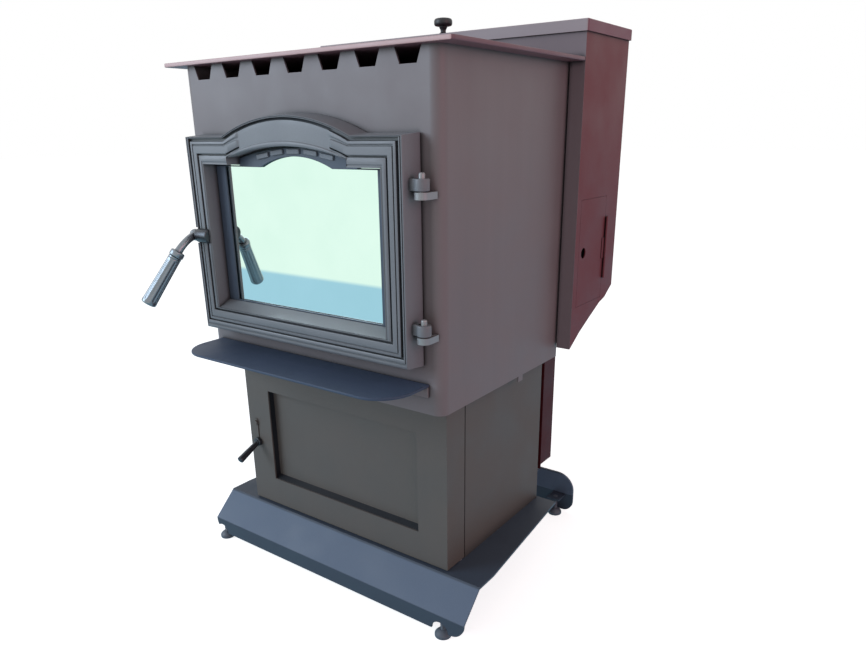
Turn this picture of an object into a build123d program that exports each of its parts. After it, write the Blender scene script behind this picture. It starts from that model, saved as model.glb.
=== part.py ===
from build123d import *
import math
import os

# Freestanding pellet stove. Millimetres, +Z up, front towards -Y.
# Origin: on the floor, under the middle of the whole outline.

# ---------------------------------------------------------------- driving sizes
sheet = 3.0                      # casing, pedestal and ash door sheet
thin_sheet = 2.0                 # hopper, shroud and duct sheet
running_gap = 0.05               # radial clearance of every turning pin
seat_gap = 0.3                   # soft or curved faces stand this far apart

base_z = 95.0                    # top of the base plate
base_plate_t = 4.0
pedestal_height = 316.0
casing_height = 533.0
casing_half = 273.0
casing_front = -240.0
casing_depth = 392.0
casing_bend = 18.0

top_plate_half = 305.0
top_plate_t = 6.35
top_plate_front_lap = 17.0
top_plate_rear_gap = 1.0

hopper_half = 305.0
hopper_lap = 8.0                 # hopper's front flange reaches forward of the casing's rear
hopper_depth = 189.0
hopper_rim_above_plate = 55.65
hopper_rear_low = 528.0          # lower end of the hopper's rear wall
hopper_front_low = 432.0         # lower end of the hopper's front edge

casing_low = base_z + pedestal_height
casing_top = casing_low + casing_height
casing_rear = casing_front + casing_depth
plate_top = casing_top + top_plate_t
hopper_front = casing_rear - hopper_lap
hopper_rear = hopper_front + hopper_depth
hopper_rim = plate_top + hopper_rim_above_plate

# base and feet
base_front_half = 321.5
base_rear_half = 292.5
base_bend_y = -202.0
base_taper_y = -155.0
base_step_lap = 5.0              # wide part of the plate reaches this far behind the pedestal
base_tail_half = 190.0
base_tail_reach = 127.0
base_slope_run = 51.0
base_slope_drop = 48.0
base_lip_height = 31.0
base_lip_corner = 28.0
apron_half = 274.0
apron_t = 5.0
apron_low = 5.0
apron_top_corner = 40.0
apron_corner = 24.0
foot_pad_r = 15.0
foot_pad_h = 14.0
foot_edge = 1.5
foot_wall_h = 6.0
foot_stud_r = 5.0
foot_stud_top = 45.0
foot_tab_z = 40.0
foot_left_x = -(base_front_half - 15.5)
foot_right_x = base_front_half - 49.5
foot_rear_x = apron_half - 34.0
foot_front_inset = 11.0          # stud's axis behind the lip's face
foot_rear_gap = 2.0              # pad in front of the apron
foot_notch_r = 17.5

# pedestal
pedestal_half = 249.4
pedestal_front = -138.5
pedestal_rear = casing_rear - 12.0

# rear shroud
shroud_half = 240.0
shroud_rear = casing_rear + 67.0
shroud_low = 157.0
shroud_flange = 9.4
shroud_hopper_gap = 0.3

# ash door
ash_door_front = -195.0
ash_door_rear = -141.0
ash_door_low = 97.0
ash_door_high = 407.0
ash_open_half = 186.0
ash_open_low = 155.0
ash_open_high = 349.0
ash_recess = 15.0
ash_pan_flange = 10.0
ash_panel_t = 2.0
ash_pin_x = 241.0
ash_pin_y = -150.0
ash_pin_r = 4.0
ash_latch_x = -225.0
ash_latch_z = 231.0
ash_latch_r = 5.0
ash_lever_r = 7.0
ash_lever_reach = 56.0
ash_lever_drop = 24.0
ash_cam_r = 19.0

# load door
door_front = -280.0
door_rear = -243.0
door_low = 495.0
door_half = 236.5
door_draft = 3.5
door_shoulder = 829.7
door_peak = 860.3
door_arch_half = 142.0
door_reveal_half = 196.0
door_reveal_low = 536.5
door_reveal_shoulder = 785.6
door_inner_arch_half = 133.0
door_inner_arch_foot = 797.0
door_inner_arch_peak = 815.0
door_ledge_t = 4.0
glass_t = 5.0
glass_lap = 3.5
glass_view_half = 170.0
glass_view_low = 543.0
glass_view_shoulder = 781.5
glass_view_arch_half = 80.0
glass_view_peak = 799.0
retainer_t = 2.5
retainer_gap = 2.5

# door hardware
hinge_x = 256.0
hinge_y = -262.0
hinge_pin_r = 4.76
hinge_knuckle_r = 11.0
hinge_upper_z = 744.0            # foot of the upper hinge's lower knuckle
hinge_lower_z = 535.0
hinge_knuckle_h = 10.0
hinge_door_knuckle_h = 17.0
hinge_knuckle_gap = 1.5
hinge_pin_head_h = 7.0
handle_x = -242.0
handle_y = -278.0
handle_z = 663.5
handle_hub_r = 10.5
handle_shaft_r = 6.0
handle_boss_r = 12.5
handle_boss_in = -200.0
handle_boss_out = -231.0
handle_grip_r = 13.5
handle_grip_len = 97.0

clip_y = 10.0
clip_width = 16.0
clip_drop = 11.0

# casing openings
mouth_half = 205.0
mouth_low = 530.0
mouth_high = 805.0
slot_pitch = 73.0
slot_count = 7
slot_top_width = 47.0
slot_bottom_width = 30.0
slot_height = 22.5
slot_shift = 0.0
exchanger_half = 248.0
exchanger_t = 1.5
exchanger_drop = 2.0             # channel floor below the slots

# firebox and what is in it
firebox_half = 209.0
firebox_low = 470.0
firebox_high = 914.0
firebox_rear = casing_rear - 162.0
firebox_wall = 4.0
outlet_inset = 5.0               # exhaust outlet, in from the duct's sides
outlet_top_gap = 10.0            # and below the duct's closed top
outlet_height = 50.0
neck_wall = 2.0                  # sheet of the neck between outlet and duct
ash_hole_in = 70.0
ash_hole_out = 130.0
pot_y = firebox_rear - 95.0
comp_front = pedestal_front + 5.0
ash_hole_front = comp_front + 5.5
ash_hole_rear = ash_hole_front + 58.0
ash_chute_wall = 2.0
pot_half_x = 45.0
pot_half_y = 38.0
pot_height = 95.0
pot_wall = 5.0
pot_rim = 12.0
airbox_height = 51.0
airbox_margin = 16.0
airbox_t = 3.0
airbox_port_r = 8.0
airbox_port_rise = 24.0          # above the firebox's low edge
pot_sink = 43.0                  # of the pot's floor below the air box's top
pot_taper = 16.0                 # its floor is narrower than its mouth by this
pot_rim_t = 4.0
grate_pitch = 13.0
grate_hole_r = 3.0
igniter_rise = 17.0              # above the pot's low edge
brick_t = 20.0
brick_high = 715.0
brick_half = 190.0

# feed
chute_half = 30.0
chute_z = 721.0
chute_t = 2.0
chute_flat = 26.0                # level run under the auger's mouth
chute_reach = 62.0
chute_drop = 38.0
auger_low_y = casing_rear + 53.0
auger_low_z = 555.0
auger_length = 310.0
auger_tube_r = 32.0
auger_tube_wall = 3.0
auger_flight_r = 27.0
auger_shaft_r = 8.0
auger_pitch = 52.0
auger_end_gap = 20.0             # of the auger short of its tube's mouth
flight_start = 18.0              # of the first flight above the tube's foot
flight_tilt = 24.0               # degrees
flight_half_t = 1.5
throat_half = 25.0
throat_top = 655.0
gear_motor_length = 58.0
gearbox_width = 60.0
gearbox_depth = 46.0
gearbox_length = 26.0
feed_motor_r = 22.0

# exhaust
duct_left = -76.0
duct_right = -16.0
duct_front = firebox_rear + 10.0
duct_rear = duct_front + 80.0
duct_gap = 1.0                   # round the duct where it passes the casing floor
duct_wall = 2.0
duct_low = 212.0
duct_high = 560.0
outlet_high = duct_high - outlet_top_gap
outlet_low = outlet_high - outlet_height
fan_x = -118.0                   # middle of the combustion fan housing
fan_width = 84.0
fan_y = pedestal_rear - 88.0
fan_z = 262.0
fan_r = 66.0
fan_inlet_r = 24.0
fan_wheel_r = fan_r - 14.0
fan_blade_length = 40.0
fan_blade_mid = fan_wheel_r - 1.0 - fan_blade_length / 2
flue_r = 38.0
flue_wall = 1.5
flue_z = 286.0
flue_end = shroud_rear + 169.0
intake_r = 25.0
intake_x = 120.0
intake_z = 300.0
intake_end = shroud_rear + 71.0
flue_insert = 45.0               # bare end behind the stop bead
intake_insert = 37.0
bead_width = 3.0

# room-air blower
blower_x = 120.0
blower_width = 120.0
blower_r = 62.0
blower_y = casing_rear - sheet - blower_r - 9.0
blower_z = 490.0
blower_outlet_rise = 95.0        # of the outlet above the shaft
blower_eye_r = 38.0
blower_wheel_r = 46.0
blower_ring_t = 12.0             # radial width of the wheel's end ring
blower_blades = 24
blower_shaft_r = 4.0
blower_motor_r = 36.0
blower_motor_length = 54.0

# hopper details
lid_half = 309.0
lid_height = 18.8
lid_t = 2.5
lid_clearance = 1.5
knob_y = hopper_front + 16.0
knob_r = 17.5
liner_t = 2.0
panel_front = hopper_front + 18.0
panel_rear = panel_front + 114.0
panel_low = 512.0
panel_high = 711.5
panel_gap = 0.5
finger_hole_r = 10.0
finger_hole_inset = 20.0
finger_hole_z = 613.0
small_hinge_r = 2.5
small_pin_r = 1.3

# pedestal
inlet_x = 190.0
inlet_z = 215.0
inlet_width = 47.0
inlet_height = 27.0

# casing
lip_z = 462.0
lip_reach = 103.0
lip_half = 248.0
lip_t = 4.5
lip_corner = 60.0

# firebox
baffle_z = 858.0
baffle_t = 3.0
baffle_flat = 120.0              # level part, from the firebox's rear wall
baffle_kick = 30.0               # sloped front part: its run and its rise
baffle_rise = 20.0
igniter_r = 5.0

# ash compartment
comp_half = 200.0
comp_rear = fan_y - fan_r - 6.0  # clear of the combustion fan's housing
pan_half = 180.0
pan_height = 150.0
pan_t = 1.5
pan_taper_x = 16.0               # its floor is narrower and shorter by these
pan_taper_y = 8.0

# ash door
back_t = 2.0

# load door
sill_rise = 11.0
pad_length = 28.0
pad_height = 7.5
pad_t = 3.0
rope_width = 9.0

# door handle
hook_turn = 25.0                 # travel from released to latched
hook_x = -250.0
hook_t = 5.0
hook_reach = 35.0
hook_tip = 10.0
hook_gap = 0.5
keeper_pin_r = 3.0
grip_tilt = 54.6                 # grip below the horizontal
grip_splay = 30.5                # grip turned outwards, away from the door
collar_x = -237.5
collar_y = -324.0
collar_z = 636.5
collar_r = 12.5
collar_back = 4.0
neck_r = 7.0
collar_t = 7.0
grip_core_r = 5.0

# hopper
funnel_top = 780.0
lid_knuckle = 12.0

# side access
panel_knuckle = 40.0
tray_depth = 17.0
tray_t = 1.5
tray_margin = 6.0
dial_r = 14.0
switch_z = 547.0
switch_half = 10.0
switch_r = 8.0


# ---------------------------------------------------------------- helpers
def facing_front(y):
    """Plane at y: local x is +X, local y is +Z, extrusions go to -Y."""
    return Plane.XZ.offset(-y)


def facing_rear(y):
    """Plane at y: local x is -X, local y is +Z, extrusions go to +Y."""
    return Plane(origin=(0, y, 0), x_dir=(-1, 0, 0), z_dir=(0, 1, 0))


def facing_right(x):
    """Plane at x: local x is +Y, local y is +Z, extrusions go to +X."""
    return Plane.YZ.offset(x)


def level(z):
    """Horizontal plane at z, extrusions go up."""
    return Plane.XY.offset(z)


def block(x_limits, y_limits, z_limits, mode=Mode.ADD):
    """A rectangular block between two limits on each axis."""
    sizes = [b - a for a, b in (x_limits, y_limits, z_limits)]
    middle = tuple((a + b) / 2 for a, b in (x_limits, y_limits, z_limits))
    with Locations(middle):
        Box(*sizes, mode=mode)


def rod_x(x_limits, y, z, radius, mode=Mode.ADD):
    """A round bar along X."""
    with BuildSketch(facing_right(x_limits[0])) as disc:
        with Locations((y, z)):
            Circle(radius)
    extrude(disc.sketch, amount=x_limits[1] - x_limits[0], mode=mode)


def rod_y(y_limits, x, z, radius, mode=Mode.ADD):
    """A round bar along Y."""
    with BuildSketch(facing_front(y_limits[1])) as disc:
        with Locations((x, z)):
            Circle(radius)
    extrude(disc.sketch, amount=y_limits[1] - y_limits[0], mode=mode)


def rod_z(z_limits, x, y, radius, mode=Mode.ADD):
    """A round bar along Z."""
    with BuildSketch(level(z_limits[0])) as disc:
        with Locations((x, y)):
            Circle(radius)
    extrude(disc.sketch, amount=z_limits[1] - z_limits[0], mode=mode)


def arched_outline(sizes, inset=0.0, mode=Mode.ADD):
    """A rectangle whose top edge rises to an arch in the middle.

    sizes: half width, low edge, shoulder, arch half width, arch foot, peak.
    """
    half, low, shoulder, arch_half, arch_foot, peak = sizes
    half = half - inset
    low = low + inset
    shoulder = shoulder - inset
    arch_half = arch_half - inset / 2
    arch_foot = arch_foot - inset
    peak = peak - inset
    with BuildLine() as outline:
        Line((-half, shoulder), (-half, low))
        Line((-half, low), (half, low))
        Line((half, low), (half, shoulder))
        Line((half, shoulder), (arch_half, shoulder))
        if arch_foot > shoulder:
            Line((arch_half, shoulder), (arch_half, arch_foot))
            Line((-arch_half, arch_foot), (-arch_half, shoulder))
        ThreePointArc((arch_half, arch_foot), (0, peak), (-arch_half, arch_foot))
        Line((-arch_half, shoulder), (-half, shoulder))
    make_face(outline.edges(), mode=mode)


def save(part, name):
    """Label a finished piece and write it out."""
    part.label = name
    export_step(part, "parts/" + name + ".step")


os.makedirs("parts", exist_ok=True)

# ---------------------------------------------------------------- base and feet
base_step_y = pedestal_rear + base_step_lap
base_tail_y = base_step_y + base_tail_reach
base_top_edge = base_z - base_slope_drop
base_lip_y = base_bend_y - base_slope_run
base_lip_low = base_top_edge - base_lip_height
foot_front_y = base_lip_y + foot_front_inset
foot_rear_y = base_tail_y - foot_pad_r - foot_rear_gap
foot_spots = [
    (foot_left_x, foot_front_y),
    (foot_right_x, foot_front_y),
    (-foot_rear_x, foot_rear_y),
    (foot_rear_x, foot_rear_y),
]

with BuildPart() as base_plate:
    # flat plate, tapering to the rear, with a narrower tail
    with BuildSketch(level(base_z - base_plate_t)):
        with BuildLine():
            Polyline(
                (-base_front_half, base_bend_y),
                (base_front_half, base_bend_y),
                (base_front_half, base_taper_y),
                (base_rear_half, base_step_y),
                (base_tail_half, base_step_y),
                (base_tail_half, base_tail_y),
                (-base_tail_half, base_tail_y),
                (-base_tail_half, base_step_y),
                (-base_rear_half, base_step_y),
                (-base_front_half, base_taper_y),
                close=True,
            )
        make_face()
    extrude(amount=base_plate_t)
    # sloped front and its lip, as one bent section
    with BuildSketch(facing_right(-base_front_half)):
        with BuildLine():
            Polyline(
                (base_bend_y, base_z),
                (base_lip_y, base_top_edge),
                (base_lip_y, base_lip_low),
                (base_lip_y + base_plate_t, base_lip_low),
                (base_lip_y + base_plate_t, base_top_edge - base_plate_t / 2),
                (base_bend_y, base_z - base_plate_t),
                close=True,
            )
        make_face()
    extrude(amount=2 * base_front_half)
    lip_corners = (
        base_plate.edges()
        .filter_by(Axis.Y)
        .filter_by(lambda e: abs(e.center().Z - base_lip_low) < 0.01)
    )
    fillet(lip_corners, radius=base_lip_corner)
    # upright apron across the tail
    with BuildSketch(facing_rear(base_tail_y)):
        with Locations((0, (apron_low + base_z) / 2)):
            Rectangle(2 * apron_half, base_z - apron_low)
    extrude(amount=apron_t)
    apron_corners = (
        base_plate.edges()
        .filter_by(Axis.Y)
        .filter_by(lambda e: abs(abs(e.center().X) - apron_half) < 0.01)
        .group_by(Axis.Z)
    )
    fillet(apron_corners[-1], radius=apron_top_corner)
    apron_corners = (
        base_plate.edges()
        .filter_by(Axis.Y)
        .filter_by(lambda e: abs(abs(e.center().X) - apron_half) < 0.01)
        .group_by(Axis.Z)
    )
    fillet(apron_corners[0], radius=apron_corner)
    # tabs that carry the feet
    for foot_x, foot_y in foot_spots[:2]:
        block(
            (foot_x - foot_pad_r, foot_x + foot_pad_r),
            (base_lip_y + base_plate_t, foot_y + foot_pad_r),
            (foot_tab_z, foot_tab_z + base_plate_t),
        )
    for foot_x, foot_y in foot_spots[2:]:
        block(
            (foot_x - foot_pad_r, foot_x + foot_pad_r),
            (foot_y - foot_pad_r, base_tail_y),
            (foot_tab_z, foot_tab_z + base_plate_t),
        )
    for foot_x, foot_y in foot_spots:
        rod_z(
            (foot_tab_z - 1, foot_tab_z + base_plate_t + 1),
            foot_x,
            foot_y,
            foot_stud_r + running_gap,
            mode=Mode.SUBTRACT,
        )
    # round notches in the lip in front of the feet
    for foot_x in (foot_left_x, foot_right_x):
        rod_y(
            (base_lip_y - 1, base_lip_y + base_plate_t + 1),
            foot_x,
            base_lip_low,
            foot_notch_r,
            mode=Mode.SUBTRACT,
        )
save(base_plate.part, "base_plate")

foot_names = ["foot_front_left", "foot_front_right", "foot_rear_left", "foot_rear_right"]
for foot_name, (foot_x, foot_y) in zip(foot_names, foot_spots):
    with BuildPart() as foot:
        with BuildSketch(Plane(origin=(foot_x, foot_y, 0), x_dir=(1, 0, 0), z_dir=(0, -1, 0))):
            with BuildLine():
                Polyline(
                    (0, 0),
                    (foot_pad_r - foot_edge, 0),
                    (foot_pad_r, foot_edge),
                    (foot_pad_r, foot_wall_h),
                    (foot_pad_r * 0.87, foot_pad_h * 0.71),
                    (foot_pad_r * 0.6, foot_pad_h * 0.93),
                    (foot_stud_r, foot_pad_h),
                    (foot_stud_r, foot_stud_top),
                    (0, foot_stud_top),
                    close=True,
                )
            make_face()
        revolve(axis=Axis((foot_x, foot_y, 0), (0, 0, 1)))
    save(foot.part, foot_name)

# ---------------------------------------------------------------- pedestal
with BuildPart() as pedestal_wrap:
    block(
        (-pedestal_half, pedestal_half),
        (pedestal_front, pedestal_rear),
        (base_z, casing_low),
    )
    block(
        (-pedestal_half + sheet, pedestal_half - sheet),
        (pedestal_front - 1, pedestal_rear - sheet),
        (base_z - 1, casing_low + 1),
        Mode.SUBTRACT,
    )
    # keeper that the ash door's cam turns behind
    block(
        (-pedestal_half + sheet - 0.5, ash_latch_x - ash_cam_r * 0.6),
        (pedestal_front, pedestal_front + 2),
        (ash_latch_z - 12, ash_latch_z + 12),
    )
    for pipe_x, pipe_z, pipe_r in (
        (fan_x, flue_z, flue_r + 4),
        (intake_x, intake_z, intake_r + seat_gap),
    ):
        rod_y((pedestal_rear - 10, pedestal_rear + 10), pipe_x, pipe_z, pipe_r, mode=Mode.SUBTRACT)
save(pedestal_wrap.part, "pedestal_wrap")

# hopper bottom profile, used by the hopper, its bottom panel and the shroud
slant = [
    (hopper_front, hopper_front_low),
    (hopper_front + 41, hopper_front_low + 25.5),
    (hopper_front + 86, hopper_front_low + 47.5),
    (hopper_front + 132, hopper_front_low + 69),
    (hopper_front + 156, hopper_front_low + 75),
    (hopper_front + 176, hopper_front_low + 88),
    (hopper_rear, hopper_rear_low),
]

slant_at_casing = slant[0][1] + (slant[1][1] - slant[0][1]) * (casing_rear - slant[0][0]) / 41

# shroud below the hopper: back, sides, bottom and side flanges
with BuildPart() as rear_shroud:
    with BuildSketch(level(shroud_low)):
        with BuildLine():
            Polyline(
                (-shroud_half - shroud_flange, casing_rear),
                (-shroud_half - shroud_flange, casing_rear + thin_sheet),
                (-shroud_half, casing_rear + thin_sheet),
                (-shroud_half, shroud_rear),
                (shroud_half, shroud_rear),
                (shroud_half, casing_rear + thin_sheet),
                (shroud_half + shroud_flange, casing_rear + thin_sheet),
                (shroud_half + shroud_flange, casing_rear),
                (shroud_half - thin_sheet, casing_rear),
                (shroud_half - thin_sheet, shroud_rear - thin_sheet),
                (-shroud_half + thin_sheet, shroud_rear - thin_sheet),
                (-shroud_half + thin_sheet, casing_rear),
                close=True,
            )
        make_face()
    extrude(amount=hopper_rear_low - shroud_low)
    block(
        (-shroud_half, shroud_half),
        (casing_rear, shroud_rear),
        (shroud_low, shroud_low + thin_sheet),
    )
    # the top follows the slanted hopper bottom
    with BuildSketch(facing_right(-casing_half)):
        with BuildLine():
            Polyline(
                (hopper_front - 5, hopper_front_low - 5),
                *[(y, z - shroud_hopper_gap) for y, z in slant[:4]],
                (slant[3][0], hopper_rear_low + 50),
                (hopper_front - 5, hopper_rear_low + 50),
                close=True,
            )
        make_face()
    extrude(amount=2 * casing_half, mode=Mode.SUBTRACT)
    rod_y((shroud_rear - 10, shroud_rear + 10), fan_x, flue_z, flue_r + seat_gap, mode=Mode.SUBTRACT)
    rod_y(
        (shroud_rear - 10, shroud_rear + 10),
        intake_x,
        intake_z,
        intake_r + seat_gap,
        mode=Mode.SUBTRACT,
    )
save(rear_shroud.part, "rear_shroud")

with BuildPart() as power_inlet:
    block(
        (inlet_x - inlet_width / 2, inlet_x + inlet_width / 2),
        (shroud_rear, shroud_rear + 6),
        (inlet_z - inlet_height / 2, inlet_z + inlet_height / 2),
    )
    fillet(power_inlet.edges().filter_by(Axis.Y), radius=4)
    socket_y = shroud_rear + 6
    block((inlet_x - 12, inlet_x + 12), (socket_y - 5, socket_y), (inlet_z - 8, inlet_z + 8), Mode.SUBTRACT)
    for pin_x in (-7, 0, 7):
        block(
            (inlet_x + pin_x - 1, inlet_x + pin_x + 1),
            (socket_y - 5, socket_y - 1),
            (inlet_z - 2.5, inlet_z + 2.5),
        )
save(power_inlet.part, "power_inlet")

# ---------------------------------------------------------------- casing
slot_centres = [slot_shift + slot_pitch * (i - (slot_count - 1) / 2) for i in range(slot_count)]

with BuildPart() as casing_wrap:
    with BuildSketch(level(casing_low)):
        with Locations((0, (casing_front + casing_rear) / 2)):
            Rectangle(2 * casing_half, casing_depth)
    extrude(amount=casing_height)
    bends = casing_wrap.edges().filter_by(Axis.Z).group_by(Axis.Y)[0]
    fillet(bends, radius=casing_bend)
    with BuildSketch(level(casing_low)):
        with Locations((0, (casing_front + casing_rear + 2 * sheet) / 2)):
            Rectangle(2 * (casing_half - sheet), casing_depth)
        fillet(vertices().group_by(Axis.Y)[0], radius=casing_bend - sheet)
    extrude(amount=casing_height, mode=Mode.SUBTRACT)
    # mouth behind the load door
    with BuildSketch(facing_front(casing_front + 2 * sheet)):
        with Locations((0, (mouth_low + mouth_high) / 2)):
            Rectangle(2 * mouth_half, mouth_high - mouth_low)
    extrude(amount=4 * sheet, mode=Mode.SUBTRACT)
    # tapered warm-air slots in the upper edge
    with BuildSketch(facing_front(casing_front + 2 * sheet)):
        for slot_x in slot_centres:
            with BuildLine():
                Polyline(
                    (slot_x - slot_top_width / 2, casing_top + 1),
                    (slot_x - slot_top_width / 2, casing_top),
                    (slot_x - slot_bottom_width / 2, casing_top - slot_height),
                    (slot_x + slot_bottom_width / 2, casing_top - slot_height),
                    (slot_x + slot_top_width / 2, casing_top),
                    (slot_x + slot_top_width / 2, casing_top + 1),
                    close=True,
                )
            make_face()
    extrude(amount=4 * sheet, mode=Mode.SUBTRACT)
    # clip hanging from the right side's lower edge
    block(
        (casing_half - sheet + 0.5, casing_half - 0.5),
        (clip_y - clip_width / 2, clip_y + clip_width / 2),
        (casing_low - clip_drop, casing_low + 1),
    )
save(casing_wrap.part, "casing_wrap")

ash_hole_spots = ((-ash_hole_out, -ash_hole_in), (ash_hole_in, ash_hole_out))
with BuildPart() as casing_floor:
    with BuildSketch(level(casing_low)):
        with Locations((0, (casing_front + casing_rear) / 2)):
            Rectangle(2 * (casing_half - sheet), casing_depth - 2 * sheet)
        fillet(vertices().group_by(Axis.Y)[0], radius=casing_bend - sheet)
    extrude(amount=sheet)
    # square chutes that carry the ash down from the firebox floor
    for hole_left, hole_right in ash_hole_spots:
        block(
            (hole_left - ash_chute_wall, hole_right + ash_chute_wall),
            (ash_hole_front - ash_chute_wall, ash_hole_rear + ash_chute_wall),
            (casing_low, firebox_low),
        )
        block(
            (hole_left, hole_right),
            (ash_hole_front, ash_hole_rear),
            (casing_low - 1, firebox_low + 1),
            Mode.SUBTRACT,
        )
    block(
        (duct_left - duct_gap, duct_right + duct_gap),
        (duct_front - duct_gap, duct_rear + duct_gap),
        (casing_low - 1, casing_low + sheet + 1),
        Mode.SUBTRACT,
    )
save(casing_floor.part, "casing_floor")

axis_dir = (0, -math.sqrt(0.5), math.sqrt(0.5))
auger_start = (0, auger_low_y, auger_low_z)
auger_plane = Plane(origin=auger_start, x_dir=(1, 0, 0), z_dir=axis_dir)

with BuildPart() as casing_back:
    block(
        (-casing_half + sheet, casing_half - sheet),
        (casing_rear - sheet, casing_rear),
        (casing_low + sheet, casing_top),
    )
    with BuildSketch(auger_plane):
        Circle(auger_tube_r + seat_gap)
    extrude(amount=auger_length, mode=Mode.SUBTRACT)
save(casing_back.part, "casing_back")

with BuildPart() as top_plate:
    with BuildSketch(level(casing_top)):
        plate_front = casing_front - top_plate_front_lap
        plate_rear = hopper_front - top_plate_rear_gap
        with Locations((0, (plate_front + plate_rear) / 2)):
            Rectangle(2 * top_plate_half, plate_rear - plate_front)
        fillet(vertices().group_by(Axis.Y)[0], radius=6)
    extrude(amount=top_plate_t)
    chamfer(top_plate.edges().group_by(Axis.Z)[-1], length=0.8)
save(top_plate.part, "top_plate")

with BuildPart() as ash_lip:
    with BuildSketch(level(lip_z - lip_t)):
        with Locations((0, casing_front - lip_reach / 2)):
            Rectangle(2 * lip_half, lip_reach)
        fillet(vertices().group_by(Axis.Y)[0], radius=lip_corner)
    extrude(amount=lip_t)
    block((-lip_half, lip_half), (casing_front - lip_t, casing_front), (lip_z - 22, lip_z))
    fillet(ash_lip.edges().group_by(Axis.Z)[-1].filter_by(Axis.X).sort_by(Axis.Y)[0], radius=1.5)
save(ash_lip.part, "ash_lip")

# ---------------------------------------------------------------- firebox
inner_front = casing_front + sheet
with BuildPart() as firebox_shell:
    block(
        (-firebox_half, firebox_half),
        (inner_front, firebox_rear),
        (firebox_low, firebox_high),
    )
    block(
        (-firebox_half + firebox_wall, firebox_half - firebox_wall),
        (inner_front, firebox_rear - firebox_wall),
        (firebox_low + firebox_wall, firebox_high - firebox_wall),
        Mode.SUBTRACT,
    )
    # face strip above and below the mouth
    block(
        (-firebox_half, firebox_half),
        (inner_front, inner_front + firebox_wall),
        (firebox_low, mouth_low - 1),
    )
    block(
        (-firebox_half, firebox_half),
        (inner_front, inner_front + firebox_wall),
        (mouth_high + 1, firebox_high),
    )
    # ash drops in the floor, over the chutes that stand on the casing floor
    for hole_x in ash_hole_spots:
        block(
            hole_x,
            (ash_hole_front, ash_hole_rear),
            (firebox_low - 1, firebox_low + firebox_wall + 1),
            Mode.SUBTRACT,
        )
    # exhaust outlet, low in the rear wall
    block(
        (duct_left + outlet_inset, duct_right - outlet_inset),
        (firebox_rear - 10, firebox_rear + 5),
        (outlet_low, outlet_high),
        Mode.SUBTRACT,
    )
    with BuildSketch(auger_plane):
        Circle(auger_tube_r + seat_gap)
    extrude(amount=auger_length, mode=Mode.SUBTRACT)
    # feed chute welded under the auger's mouth
    chute_y = firebox_rear - firebox_wall
    with BuildSketch(facing_right(-chute_half)):
        with BuildLine():
            Polyline(
                (chute_y + 1, chute_z),
                (chute_y + 1, chute_z + chute_t),
                (chute_y - chute_flat, chute_z + chute_t),
                (chute_y - chute_reach, chute_z - chute_drop),
                (chute_y - chute_reach, chute_z - chute_drop - 1.25 * chute_t),
                (chute_y - chute_flat - chute_t / 2, chute_z),
                close=True,
            )
        make_face()
    extrude(amount=2 * chute_half)
save(firebox_shell.part, "firebox_shell")

brick_rear = firebox_rear - firebox_wall - seat_gap
with BuildPart() as back_brick:
    block(
        (-brick_half, brick_half),
        (brick_rear - brick_t, brick_rear),
        (firebox_low + firebox_wall, brick_high),
    )
    block(
        (duct_left, duct_right),
        (brick_rear - brick_t, brick_rear),
        (firebox_low + firebox_wall, duct_high),
        Mode.SUBTRACT,
    )
    chamfer(back_brick.edges().group_by(Axis.Y)[0].filter_by(Axis.X).sort_by(Axis.Z)[-1], length=3)
save(back_brick.part, "back_brick")

with BuildPart() as baffle_plate:
    baffle_half = firebox_half - firebox_wall
    baffle_rear = firebox_rear - firebox_wall
    kick_y = baffle_rear - baffle_flat - baffle_kick
    with BuildSketch(facing_right(-baffle_half)):
        with BuildLine():
            Polyline(
                (baffle_rear, baffle_z),
                (baffle_rear, baffle_z + baffle_t),
                (baffle_rear - baffle_flat, baffle_z + baffle_t),
                (kick_y, baffle_z + baffle_t + baffle_rise),
                (kick_y - 2 * baffle_t / 3, baffle_z + baffle_rise),
                (baffle_rear - baffle_flat - baffle_t / 3, baffle_z),
                close=True,
            )
        make_face()
    extrude(amount=2 * baffle_half)
save(baffle_plate.part, "baffle_plate")

airbox_top = firebox_low + firebox_wall + airbox_height
airbox_half_x = pot_half_x + airbox_margin
airbox_half_y = pot_half_y + airbox_margin
with BuildPart() as air_box:
    block(
        (-airbox_half_x, airbox_half_x),
        (pot_y - airbox_half_y, pot_y + airbox_half_y),
        (firebox_low + firebox_wall, airbox_top),
    )
    block(
        (-airbox_half_x + airbox_t, airbox_half_x - airbox_t),
        (pot_y - airbox_half_y + airbox_t, pot_y + airbox_half_y - airbox_t),
        (firebox_low + firebox_wall, airbox_top - airbox_t),
        Mode.SUBTRACT,
    )
    block(
        (-pot_half_x - 1, pot_half_x + 1),
        (pot_y - pot_half_y - 1, pot_y + pot_half_y + 1),
        (airbox_top - 5, airbox_top + 1),
        Mode.SUBTRACT,
    )
    port_y = (pot_y, pot_y + airbox_half_y + 5)
    port_z = firebox_low + airbox_port_rise
    rod_y(port_y, 0, port_z, airbox_port_r, mode=Mode.SUBTRACT)
save(air_box.part, "air_box")

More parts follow.
